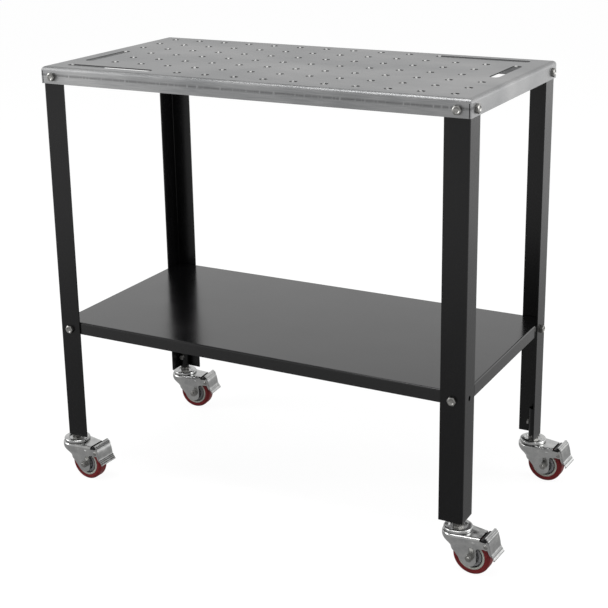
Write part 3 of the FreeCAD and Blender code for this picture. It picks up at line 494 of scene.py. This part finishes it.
def shape_mesh(name, shapes):
    """One mesh from several shapes, each given by its points, its faces and its place."""
    points, faces = [], []
    for spots, sides, place in shapes:
        start = len(points)
        points += [place @ spot for spot in spots]
        faces += [tuple(start + corner for corner in side) for side in sides]
    made = bpy.data.meshes.new(name)
    made.from_pydata(points, [], faces)
    made.shade_smooth()
    made.set_sharp_from_angle(angle=math.radians(SHARP_TURN))
    return made


SLOT_OF = {"pale_rim": "grey_core"}


def add_piece(name, shapes, body, finish, *stands_for):
    """A new piece of the table, which rides on a body and may stand for solids."""
    mesh = shape_mesh(name, shapes)
    piece = bpy.data.objects.new(name, mesh)
    bpy.context.collection.objects.link(piece)
    mesh.materials.append(finishes[finish])
    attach(piece, body)
    SLOT_OF.get(finish, finish)
    if stands_for:
        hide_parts(*stands_for)
    return piece


print("a ring has", RING_POINTS, "points")

# %% [markdown]
# The head of a bolt grows with its width across flats, so its rings are given as shares of
# that width. A real thread winds. A row of rings that are by turns as wide as the bolt and cut
# in looks the same at this size and needs far fewer points.

# %% Bolt and nut
CONE = math.tan(math.radians(28))
CONE_START = 0.46
TURNED_OFF = 0.5
# How far out a ring lies, as a share of the width, and how high over the turned-off edge.
DISH = (
    (0.05, -0.7), (0.2, -0.8), (0.27, -0.5), (0.31, 0.1), (0.38, TURNED_OFF), (0.43, 0.2),
    (CONE_START, -0.06),
)
WASHER_SHARE, WASHER_HIGH = 0.47, 0.3
THREAD_PITCH = 1.5
THREAD_ROOT, THREAD_END = 0.86, 0.78
BORE_PLAY, BORE_BEVEL = 0.05, 0.4


def flats(across):
    """Reach of a hexagon at an angle, with a corner at angle 0."""
    return lambda angle: across / 2 / math.cos(angle % (math.pi / 3) - math.pi / 6)


def coned(across, height, sense):
    """Height of the hexagon's edge where the cone has turned it off."""
    reach = flats(across)
    return lambda angle: height - sense * (reach(angle) - CONE_START * across) * CONE


def bolt_shape(across, head, diameter, length, grip):
    """Bolt along Z, its head above the origin, its thread below the grip."""
    radius = diameter / 2
    root = radius * THREAD_ROOT
    top = head - TURNED_OFF
    washer = WASHER_SHARE * across
    rings = [ring(share * across, top + high) for share, high in DISH]
    rings += [
        ring(flats(across), coned(across, top, 1)), ring(flats(across), WASHER_HIGH),
        ring(washer, WASHER_HIGH), ring(washer, 0.0), ring(radius, 0.0), ring(radius, -grip),
    ]
    depth = grip + THREAD_PITCH / 2
    while depth < length - THREAD_PITCH:
        rings += [ring(root, -depth), ring(radius, -depth - THREAD_PITCH / 2)]
        depth += THREAD_PITCH
    rings += [ring(root, TURNED_OFF - length), ring(radius * THREAD_END, -length)]
    return skin(rings)


def nut_shape(across, height, bore):
    """Nut along Z, standing on the origin."""
    inside = bore / 2 + BORE_PLAY
    mouth = inside + BORE_BEVEL
    face = CONE_START * across
    return skin([
        ring(inside, BORE_BEVEL), ring(mouth, 0.0), ring(face, 0.0),
        ring(flats(across), coned(across, 0.0, -1)),
        ring(flats(across), coned(across, height, 1)),
        ring(face, height), ring(mouth, height), ring(inside, height - BORE_BEVEL),
    ], closed=True)


print("a nut of 17 mm has", len(nut_shape(17, 8, 10)[1]), "faces")

# %% [markdown]
# The bolts sit where the solids' bolts sit: 25 mm in from the worktop's ends, 20 mm below its
# face, and one through each leg at the height of the shelf's apron. Each could be modelled in
# place, but one shape and a matrix for each seat keep them alike and easy to move. Sizes are
# in millimetres.

# %% Seats of the table's bolts
HALF_LENGTH, HALF_WIDTH = 457.2, 228.6
SHEET, LEG_SHEET, SHELF_SHEET = 2.5, 3.0, 1.5
SENSES = {
    "front_left": (-1, -1), "front_right": (1, -1), "rear_right": (1, 1), "rear_left": (-1, 1)
}


def seat(spot, outward):
    """Puts a shape that stands along Z on a spot, to face outward."""
    turn = Vector((0, 0, 1)).rotation_difference(Vector(outward))
    return Matrix.Translation(Vector(spot) * MM) @ turn.to_matrix().to_4x4()


def seats_on(inset, height, depth, faces):
    """Seats along the table's length (X) or width (Y) at the corners that faces names."""
    seats = []
    for corner, (sense_x, sense_y) in SENSES.items():
        if "X" in faces[corner]:
            spot = (sense_x * (HALF_LENGTH - inset), sense_y * (HALF_WIDTH - depth), height)
            seats.append((spot, Vector((0, sense_y, 0))))
        if "Y" in faces[corner]:
            spot = (sense_x * (HALF_LENGTH - depth), sense_y * (HALF_WIDTH - inset), height)
            seats.append((spot, Vector((sense_x, 0, 0))))
    return seats


print("bolts at", len(SENSES), "corners")

# %% Bolts and nuts of the table
BOLT = {"across": 15.6, "head": 6.4, "diameter": 10.0}
NUT = {"across": 17.0, "height": 8.0, "bore": 10.0}
BOLT_PAST_NUT = 3.0
BOTH = dict.fromkeys(SENSES, "XY")
SHELF_SIDES = {"front_left": "X", "front_right": "X", "rear_right": "Y", "rear_left": "Y"}
# name, inset from the worktop's edge, height, depth of the seat, grip, faces
ROWS = (
    ("worktop", 25.0, -20.0, 0.0, SHEET + LEG_SHEET, BOTH),
    ("shelf", 26.5, -554.0, SHEET, LEG_SHEET + SHELF_SHEET, SHELF_SIDES),
)
for name, inset, height, depth, grip, faces in ROWS:
    length = grip + NUT["height"] + BOLT_PAST_NUT
    bolt = bolt_shape(length=length, grip=grip, **BOLT)
    nut = nut_shape(**NUT)
    outside = [(*bolt, seat(*each)) for each in seats_on(inset, height, depth, faces)]
    inside = [
        (*nut, seat(spot, -outward))
        for spot, outward in seats_on(inset, height, depth + grip, faces)
    ]
    add_piece(f"{name}_forged_bolts", outside, "table", "zinc_fastener", f"{name}_bolts")
    add_piece(f"{name}_turned_nuts", inside, "table", "zinc_fastener", f"{name}_nuts")
    print(name, len(outside), "bolts, grip", grip, "mm")

# %% [markdown]
# The casters are all alike, so each piece is drawn once, in the caster's own view: reach u
# behind the swivel axis, v to its left and height z above the floor, in millimetres. A matrix
# for each corner then turns and moves the finished shape to its place. The stem stands in a
# tube that is sunk a little into the weld in the leg's corner.

# %% Where the casters stand
FACE_HEIGHT = 895.0
TUBE_RADIUS, WELD_SINK = 10.0, 0.4
STEM_INSET = SHEET + LEG_SHEET + TUBE_RADIUS - WELD_SINK
CASTER_TURN = {"front_left": -3.0, "front_right": -3.0, "rear_right": -3.0, "rear_left": 5.0}
CASTER = {}
for corner, (sense_x, sense_y) in SENSES.items():
    stand = Vector((
        sense_x * (HALF_LENGTH - STEM_INSET), sense_y * (HALF_WIDTH - STEM_INSET), -FACE_HEIGHT
    ))
    turn = Matrix.Rotation(math.radians(CASTER_TURN[corner]), 4, "Z")
    CASTER[corner] = Matrix.Translation(stand * MM) @ turn
    print(corner, [round(side, 4) for side in CASTER[corner].translation])


def add_to_casters(name, shapes, body, finish, *stands_for):
    """The same piece on each caster. The names of body and solids get the corner's name."""
    made = []
    for corner in CORNERS:
        placed = [
            (points, faces, CASTER[corner] @ place) for points, faces, place in shapes
        ]
        made.append(add_piece(
            f"{name}_{corner}", placed, f"{body}_{corner}", finish,
            *(f"{solid}_{corner}" for solid in stands_for),
        ))
    return made


# %% [markdown]
# The axle bolt runs from one cheek to the other, its nut on the side that faces the front.
# Both are the same forged and turned shapes as the table's, only smaller, so the same two
# functions draw them.

# %% Axle bolts and nuts
AXLE = Vector((32.0, 0.0, 37.5))
CHEEK = 16.5
AXLE_BOLT = {"across": 13.0, "head": 5.3, "diameter": 8.0}
AXLE_NUT = {"across": 13.0, "height": 8.0, "bore": 8.0}
BOLT_PAST_CHEEK = 10.0


def on_cheek(side):
    """Puts a shape that stands along Z on a cheek, where the axle comes through."""
    outward = Vector((0, side, 0))
    spot = AXLE + outward * CHEEK
    return seat(spot, outward)


axle_bolt = bolt_shape(length=2 * CHEEK + BOLT_PAST_CHEEK, grip=2 * CHEEK, **AXLE_BOLT)
axle_nut = nut_shape(**AXLE_NUT)
add_to_casters(
    "axle_forged_bolt", [(*axle_bolt, on_cheek(1))], "swivel", "zinc_fastener", "axle_bolt"
)
add_to_casters(
    "axle_turned_nut", [(*axle_nut, on_cheek(-1))], "swivel", "zinc_fastener", "axle_nut"
)
print("four axles")

# %% [markdown]
# The pedal is one stamped sheet: a tread with three ridges for the shoe's grip, a flared lower
# end with two lower ridges whose edge is rolled under, and two flanges on the pin. Its section
# is a smooth line through a few points. The ridges push that line outwards by a half wave, and
# a second line inside it gives the sheet its thickness. The section is then drawn across. A
# plane with a Solidify modifier would also do, but its ridges would be hard to place.

# %% Section of a bent sheet with ridges
RIDGE_HALF = 1.7
RIDGE_FOLLOWED = 0.6


def smooth_line(knots, steps=10):
    """Points on a Catmull-Rom curve through the knots."""
    knots = [Vector(knot) for knot in knots]
    ends = [2 * knots[0] - knots[1], *knots, 2 * knots[-1] - knots[-2]]
    points = []
    for before, start, end, after in zip(ends, ends[1:], ends[2:], ends[3:]):
        for step in range(steps):
            t = step / steps
            points.append(0.5 * (
                2 * start + (end - before) * t
                + (2 * before - 5 * start + 4 * end - after) * t * t
                + (3 * start - before - 3 * end + after) * t ** 3
            ))
    return points + [knots[-1]]


def sheet_section(line, thickness, ridges):
    """Closed outline of a bent sheet: the outer line with its ridges, then the inner one."""
    outer, inner = [], []
    gone = 0.0
    for number, point in enumerate(line):
        ahead = line[min(number + 1, len(line) - 1)] - line[max(number - 1, 0)]
        out = Vector((-ahead.y, ahead.x)).normalized()
        if number:
            gone += (point - line[number - 1]).length
        lift = sum(
            high * (0.5 + 0.5 * math.cos(math.pi * (gone - middle) / RIDGE_HALF))
            for middle, high in ridges
            if abs(gone - middle) < RIDGE_HALF
        )
        outer.append(point + out * lift)
        inner.append(point - out * (thickness - RIDGE_FOLLOWED * lift))
    return outer + inner[::-1]


print("ridges", 2 * RIDGE_HALF, "mm wide")

# %% Pedal
PEDAL_SHEET = 1.6
PEDAL_HALF = 22.5
PIN = Vector((65.4, 0.0, 69.4))
EAR_RADIUS = 6.6
TREAD = (
    (64.3, 88.3), (69.6, 83.6), (73.4, 75.6), (75.7, 66.5), (77.0, 59.0), (79.2, 53.4),
    (82.4, 49.6), (84.3, 47.0), (84.0, 45.2), (82.4, 44.7), (81.0, 45.6),
)
# How far along the tread each ridge is, and how high it stands.
RIDGES = ((2.9, 1.5), (6.9, 1.5), (10.9, 1.5), (37.2, 1.0), (41.0, 1.0))


def drawn_across(section, low, high):
    """A solid with a section in the caster's side view, from v = low to v = high."""
    count = len(section)
    points = [Vector((u, v, z)) * MM for v in (low, high) for u, z in section]
    faces = [
        (step, count + step, count + (step + 1) % count, (step + 1) % count)
        for step in range(count)
    ]
    faces.append(tuple(range(count)))
    faces.append(tuple(reversed(range(count, 2 * count))))
    return points, faces


def arc(u, z, radius, start, end, steps=12):
    """Points on an arc in the side view, angles in degrees from the u axis."""
    points = []
    for step in range(steps + 1):
        angle = math.radians(start + (end - start) * step / steps)
        points.append((u + radius * math.cos(angle), z + radius * math.sin(angle)))
    return points


tread = sheet_section(smooth_line(TREAD), PEDAL_SHEET, RIDGES)
flange = [
    (68.6, 80.6), (71.4, 75.4), (73.6, 67.0), (74.9, 59.5), (76.8, 53.6), (75.2, 52.8),
    (72.0, 57.0), *arc(PIN.x, PIN.z, EAR_RADIUS, -55, -230),
]
UNMOVED = Matrix.Identity(4)
pedals = add_to_casters(
    "stamped_pedal",
    [
        (*drawn_across(tread, -PEDAL_HALF, PEDAL_HALF), UNMOVED),
        (*drawn_across(flange, -PEDAL_HALF, -PEDAL_HALF + PEDAL_SHEET), UNMOVED),
        (*drawn_across(flange, PEDAL_HALF - PEDAL_SHEET, PEDAL_HALF), UNMOVED),
    ],
    "brake", "zinc_sheet", "pedal",
)
for pedal in pedals:
    soften(pedal, 0.0004, segments=3, turn=50)
print("pedal section of", len(tread), "points")

# %% [markdown]
# Each cheek has two shallow ribs pressed outwards, which stiffen it, and one round dimple
# above the arch. A rib that floats or sinks would show, so it follows the solid: a ray from
# the side finds the cheek's surface under each of its points, and the point is lifted from
# there by a half wave across the rib. No point is lifted out of the table's own box.

# %% The cheek's surface beside a point
BESIDE = 60.0


def cheek_finder(corner):
    """A function that gives the fork's surface beside a point of its side view."""
    fork = solids[f"fork_{corner}"]
    tree = BVHTree.FromPolygons(
        [vertex.co for vertex in fork.data.vertices],
        [side.vertices[:] for side in fork.data.polygons],
    )
    place = CASTER[corner]

    def surface(u, z, side, lift):
        start = place @ (Vector((u, side * BESIDE, z)) * MM)
        towards = (place.to_3x3() @ Vector((0, -side, 0))).normalized()
        spot, normal, _, _ = tree.ray_cast(start, towards)
        if normal.dot(towards) > 0:
            normal = -normal
        lifted = spot + normal * lift * MM
        for axis, (least, most) in enumerate(zip(*solid_box)):
            lifted[axis] = min(max(lifted[axis], least), most)
        return lifted

    return surface


print("looks at the cheeks from", BESIDE, "mm")

# %% Ribs pressed into the cheeks
RIBS = (
    ((-4.4, 75.5), (-3.4, 68.0), (-2.2, 57.0), (-1.0, 47.0)),
    ((22.0, 74.5), (23.6, 67.0), (25.2, 58.0)),
)
RIB_HALF, RIB_HIGH = 2.6, 0.9
RIB_END = 0.35
RIB_COLUMNS = 9
SINK = 0.15


def grid_faces(rows, columns, round_about=False):
    """Faces between rows of points. Round about, a row's last point is joined to its first."""
    faces = []
    for row in range(rows - 1):
        for column in range(columns if round_about else columns - 1):
            after = (column + 1) % columns
            faces.append((
                row * columns + column, row * columns + after,
                (row + 1) * columns + after, (row + 1) * columns + column,
            ))
    return faces


def rib(surface, knots, side):
    """A half wave that runs along a line on the cheek and fades at both ends."""
    line = smooth_line(knots, 8)
    points = []
    for number, point in enumerate(line):
        ahead = line[min(number + 1, len(line) - 1)] - line[max(number - 1, 0)]
        across = Vector((-ahead.y, ahead.x)).normalized()
        share = number / (len(line) - 1)
        fade = math.sin(math.pi * share) ** 0.5 if 0 < share < 1 else 0.0
        half = RIB_HALF * (RIB_END + (1 - RIB_END) * fade)
        for column in range(RIB_COLUMNS):
            off = 2 * column / (RIB_COLUMNS - 1) - 1
            spot = point + across * off * half
            lift = RIB_HIGH * fade * (0.5 + 0.5 * math.cos(math.pi * off)) - SINK
            points.append(surface(spot.x, spot.y, side, lift))
    return points, grid_faces(len(line), RIB_COLUMNS), UNMOVED


print(len(RIBS), "ribs on each cheek")

# %% The dimple, and all marks of the press
DIMPLE = (40.9, 70.8)
DIMPLE_RADIUS, DIMPLE_HIGH = 3.0, 0.9
DIMPLE_RINGS, DIMPLE_POINTS = 8, 24
DIMPLE_MIDDLE = 0.06


def dimple(surface, middle, side):
    """A low round boss with a dished middle."""
    points = []
    for number in range(DIMPLE_RINGS):
        share = number / (DIMPLE_RINGS - 1)
        reach = DIMPLE_RADIUS * (DIMPLE_MIDDLE + (1 - DIMPLE_MIDDLE) * share)
        high = DIMPLE_HIGH * math.sin(math.pi * (0.25 + 0.75 * share)) - SINK * share
        for step in range(DIMPLE_POINTS):
            angle = math.tau * step / DIMPLE_POINTS
            u, z = middle[0] + reach * math.cos(angle), middle[1] + reach * math.sin(angle)
            points.append(surface(u, z, side, high))
    faces = grid_faces(DIMPLE_RINGS, DIMPLE_POINTS, round_about=True)
    faces.append(tuple(reversed(range(DIMPLE_POINTS))))
    return points, faces, UNMOVED


for corner in CORNERS:
    surface = cheek_finder(corner)
    marks = [rib(surface, knots, side) for knots in RIBS for side in (-1, 1)]
    marks += [dimple(surface, DIMPLE, side) for side in (-1, 1)]
    add_piece(f"fork_press_marks_{corner}", marks, f"swivel_{corner}", "zinc_sheet")
    print(corner, len(marks), "marks pressed into the fork")

# %% [markdown]
# The pedal's pin is a rivet: its ends are upset into low domes over the flanges. A flattened
# sphere would meet the flange at a gap where it curves back, so each dome is a skin of rings
# whose widest ring is sunk a little into the flange.

# %% Rivet heads of the pedal pins
HEAD_RADIUS, HEAD_HIGH, HEAD_SINK = 4.3, 1.5, 0.1
dome = skin([
    ring(HEAD_RADIUS * math.cos(rise), HEAD_HIGH * math.sin(rise) - HEAD_SINK)
    for rise in map(math.radians, (0, 15, 30, 45, 60, 75, 86))
])
heads = []
for side in (-1, 1):
    outward = Vector((0, side, 0))
    heads.append((*dome, seat(PIN + outward * PEDAL_HALF, outward)))
add_to_casters("pin_rivet_heads", heads, "swivel", "zinc_fastener")
print("rivet heads of", 2 * HEAD_RADIUS, "mm")

# %% [markdown]
# The core's outer rim shows as a light ring beside the tyre, and its paler colour is a painted
# highlight. A mask on the radius could colour it, but the real rim has a step that catches the
# light. So it is a flat ring with bevelled edges on each side of the wheel, which stands a
# little proud of the core's face.

# %% Rim of the wheel cores, painted paler as a highlight
RIM_IN, RIM_OUT, CORE_FACE = 23.4, 27.3, 11.5
RIM_PROUD, RIM_SUNK, RIM_BEVEL = 0.25, 0.6, 0.35


def rim_ring(side):
    """The ring on one side of the wheel."""
    face, depth = CORE_FACE + RIM_PROUD, CORE_FACE - RIM_SUNK
    section = (
        (RIM_IN, depth), (RIM_IN, face - RIM_BEVEL), (RIM_IN + RIM_BEVEL, face),
        (RIM_OUT - RIM_BEVEL, face), (RIM_OUT, face - RIM_BEVEL), (RIM_OUT, depth),
    )
    place = seat(AXLE, Vector((0, side, 0)))
    return (*skin([ring(reach, high) for reach, high in section], closed=True), place)


# The rims get the finish with the painted highlight.
add_to_casters("core_rim", [rim_ring(-1), rim_ring(1)], "wheel", "pale_rim")
print("rims on", len(CORNERS), "wheels")

# %% [markdown]
# The studio is a white sweep. A camera, gloss and glass see it directly, and soft light falls
# from the world and from large lamps. A real studio is bright behind the object and dark on the
# photographer's side, and metal shows both, so what gloss sees fades towards the front, overhead
# and close to the table, where the floor holds a painted shadow that only gloss sees. The floor
# is pale and keeps a faint shadow.


# %% Rays that look at the studio
WHITE = (1, 1, 1, 1)


def eased(board, reading, low, high):
    """0 below low, 1 above high, and a smooth step between them."""
    values = {"Value": reading, "From Min": low, "From Max": high}
    return board.node("ShaderNodeMapRange", {"interpolation_type": "SMOOTHSTEP"}, values)


def ray_kinds(board):
    """Whether a ray comes from the camera, from a gloss or through glass."""
    kinds = ("Is Camera Ray", "Is Glossy Ray", "Is Transmission Ray")
    return board.node("ShaderNodeLightPath", out=kinds)


print("a studio seen by camera, gloss and glass")

# %% World
WORLD_LIGHT = 0.5
FRONT_DIM, FRONT_FADE = 0.7, (-0.95, 0.1)
OVERHEAD_DIM, OVERHEAD_FADE = 0.45, (0.3, 0.85)
world = bpy.data.worlds.new("studio")
bpy.context.scene.world = world
world.use_nodes = True
board = Board(world.node_tree)
camera_ray, gloss_ray, glass_ray = ray_kinds(board)
_, back, height = board.parts(board.node("ShaderNodeTexCoord", out="Generated"))
fade = FRONT_DIM + (1 - FRONT_DIM) * eased(board, back, *FRONT_FADE)
fade = fade * (1 - OVERHEAD_DIM * eased(board, height, *OVERHEAD_FADE))
level = (camera_ray + glass_ray + gloss_ray * fade).kept()
white = board.node("ShaderNodeBackground", None, {"Color": WHITE, "Strength": level})
soft = board.node("ShaderNodeBackground", None, {"Color": WHITE, "Strength": WORLD_LIGHT})
looks = (camera_ray + glass_ray + gloss_ray).kept()
both = board.node("ShaderNodeMixShader", None, {0: looks, 1: soft, 2: white})
board.node("ShaderNodeOutputWorld", None, {"Surface": both})
print("world light", WORLD_LIGHT)

# %% Floor
FLOOR_HALF = 12.0
FLOOR_GAP = 0.0002
floor_z = solid_box[0].z - FLOOR_GAP
floor_mesh = bpy.data.meshes.new("floor")
floor_mesh.from_pydata(
    [(x * FLOOR_HALF, y * FLOOR_HALF, floor_z) for x, y in ((-1, -1), (1, -1), (1, 1), (-1, 1))],
    [], [(0, 1, 2, 3)],
)
floor = bpy.data.objects.new("floor", floor_mesh)
bpy.context.collection.objects.link(floor)
print("floor at", round(floor_z, 4))

# %% [markdown]
# The floor is white paper to the camera but darker to gloss: dark near the table, which is a
# painted shadow that only gloss sees, and dark to the front, with a glow further out to the
# front, as the lower edge of a metal part shows it. The camera sees mostly the even glow and
# only a small share of the lit paper, which holds the shadow.

# %% Paper of the floor
PAPER = (0.9, 0.9, 0.9, 1)
PAPER_GLOW = 1.06
SHADOW_SHARE = 0.12
# The dimming near the table is a painted shadow, seen by gloss only.
NEAR_PAINTED_SHADOW, NEAR_FADE, BACK_FADE = 0.36, (0.5, 3.6), (-3.4, 0.4)
FRONT_GLOW, GLOW_FADE = 0.35, (1.2, 2.4)
pale, board = new_finish("studio_floor")
camera_ray, gloss_ray, glass_ray = ray_kinds(board)
spot = board.node("ShaderNodeTexCoord", out="Object")
_, back, _ = board.parts(spot)
reach = board.node("ShaderNodeVectorMath", {"operation": "LENGTH"}, {0: spot}, out="Value")
far = eased(board, reach, *NEAR_FADE) * eased(board, back + 0.5 * reach, *BACK_FADE)
fade = NEAR_PAINTED_SHADOW + (1 - NEAR_PAINTED_SHADOW) * far
fade = (fade + FRONT_GLOW * eased(board, 0 - back, *GLOW_FADE)).kept()
level = (camera_ray + glass_ray + gloss_ray * fade).kept()
paper = board.node("ShaderNodeBsdfDiffuse", None, {"Color": PAPER})
glow = board.node("ShaderNodeEmission", None, {"Color": WHITE, "Strength": level * PAPER_GLOW})
share = (camera_ray * (1 - SHADOW_SHARE) + glass_ray + gloss_ray).kept()
lit = board.node("ShaderNodeMixShader", None, {0: share, 1: paper, 2: glow})
board.node("ShaderNodeOutputMaterial", None, {"Surface": lit})
floor_mesh.materials.append(pale)
print("shadow share", SHADOW_SHARE)

# %% [markdown]
# Large lamps give soft edges to every reflection. One hangs over the worktop, one stands on
# each side, and a weak one behind brightens the inner sides of the right legs.

# %% Lamps
# name, place, aimed at, width, height, watts
LAMPS = (
    ("overhead", (0.2, -0.9, 2.3), (0.0, 0.1, -0.2), 2.6, 1.0, 60.0),
    ("right", (3.0, 0.9, 0.7), (0.2, 0.0, -0.4), 1.6, 2.0, 45.0),
    ("left", (-3.2, -1.6, 0.7), (0.0, 0.0, -0.4), 1.6, 2.0, 60.0),
    ("back right", (2.0, 2.8, -0.15), (0.45, 0.1, -0.4), 1.4, 1.0, 4.0),
)
for name, place, aim, width, height, watts in LAMPS:
    lamp = bpy.data.lights.new(name, "AREA")
    lamp.shape = "RECTANGLE"
    lamp.size, lamp.size_y = width, height
    lamp.energy = watts
    holder = bpy.data.objects.new(name, lamp)
    holder.location = place
    holder.rotation_euler = (Vector(aim) - Vector(place)).to_track_quat("-Z", "Y").to_euler()
    bpy.context.collection.objects.link(holder)
print(len(LAMPS), "lamps")

# %% [markdown]
# The camera stands to the right of the table's front, a little above the worktop, with a long
# lens. Part of the downward look is taken by shifting the lens instead of tilting it, which
# keeps the legs nearly upright in the picture. A constraint could aim the camera at the table,
# but a matrix also holds the small roll.

# %% Camera
CAMERA_AT = Vector((1.2606, -2.3122, 0.4128))
CAMERA_TURN = math.radians(28.428)
CAMERA_TILT = math.radians(16.464)
CAMERA_ROLL = math.radians(-0.927)
CAMERA_REACH = 60.0
PICTURE_PIXELS = 608
FOCAL_PIXELS = 1333.6
AXIS_ROW_PIXELS = 240
SENSOR_MM = 36
LENS_MM = FOCAL_PIXELS * SENSOR_MM / PICTURE_PIXELS
LENS_SHIFT = -(PICTURE_PIXELS / 2 - AXIS_ROW_PIXELS) / PICTURE_PIXELS
print("lens", round(LENS_MM, 1), "mm, shift", round(LENS_SHIFT, 3))

# %% Aim the camera
ahead = Vector((
    -math.sin(CAMERA_TURN) * math.cos(CAMERA_TILT),
    math.cos(CAMERA_TURN) * math.cos(CAMERA_TILT),
    -math.sin(CAMERA_TILT),
))
level_right = ahead.cross(Vector((0, 0, 1))).normalized()
level_up = level_right.cross(ahead)
right = math.cos(CAMERA_ROLL) * level_right + math.sin(CAMERA_ROLL) * level_up
up = -math.sin(CAMERA_ROLL) * level_right + math.cos(CAMERA_ROLL) * level_up
camera = bpy.data.objects.new("camera", bpy.data.cameras.new("camera"))
bpy.context.collection.objects.link(camera)
camera.matrix_world = Matrix((
    (right.x, up.x, -ahead.x, CAMERA_AT.x),
    (right.y, up.y, -ahead.y, CAMERA_AT.y),
    (right.z, up.z, -ahead.z, CAMERA_AT.z),
    (0, 0, 0, 1),
))
camera.data.sensor_width = SENSOR_MM
camera.data.lens = LENS_MM
camera.data.shift_y = LENS_SHIFT
camera.data.clip_end = CAMERA_REACH
bpy.context.scene.camera = camera
print("camera looks along", [round(part, 3) for part in ahead])

# %% [markdown]
# The Standard view keeps each colour as it was set.

# %% Keep the colours as set
bpy.context.scene.view_settings.view_transform = "Standard"
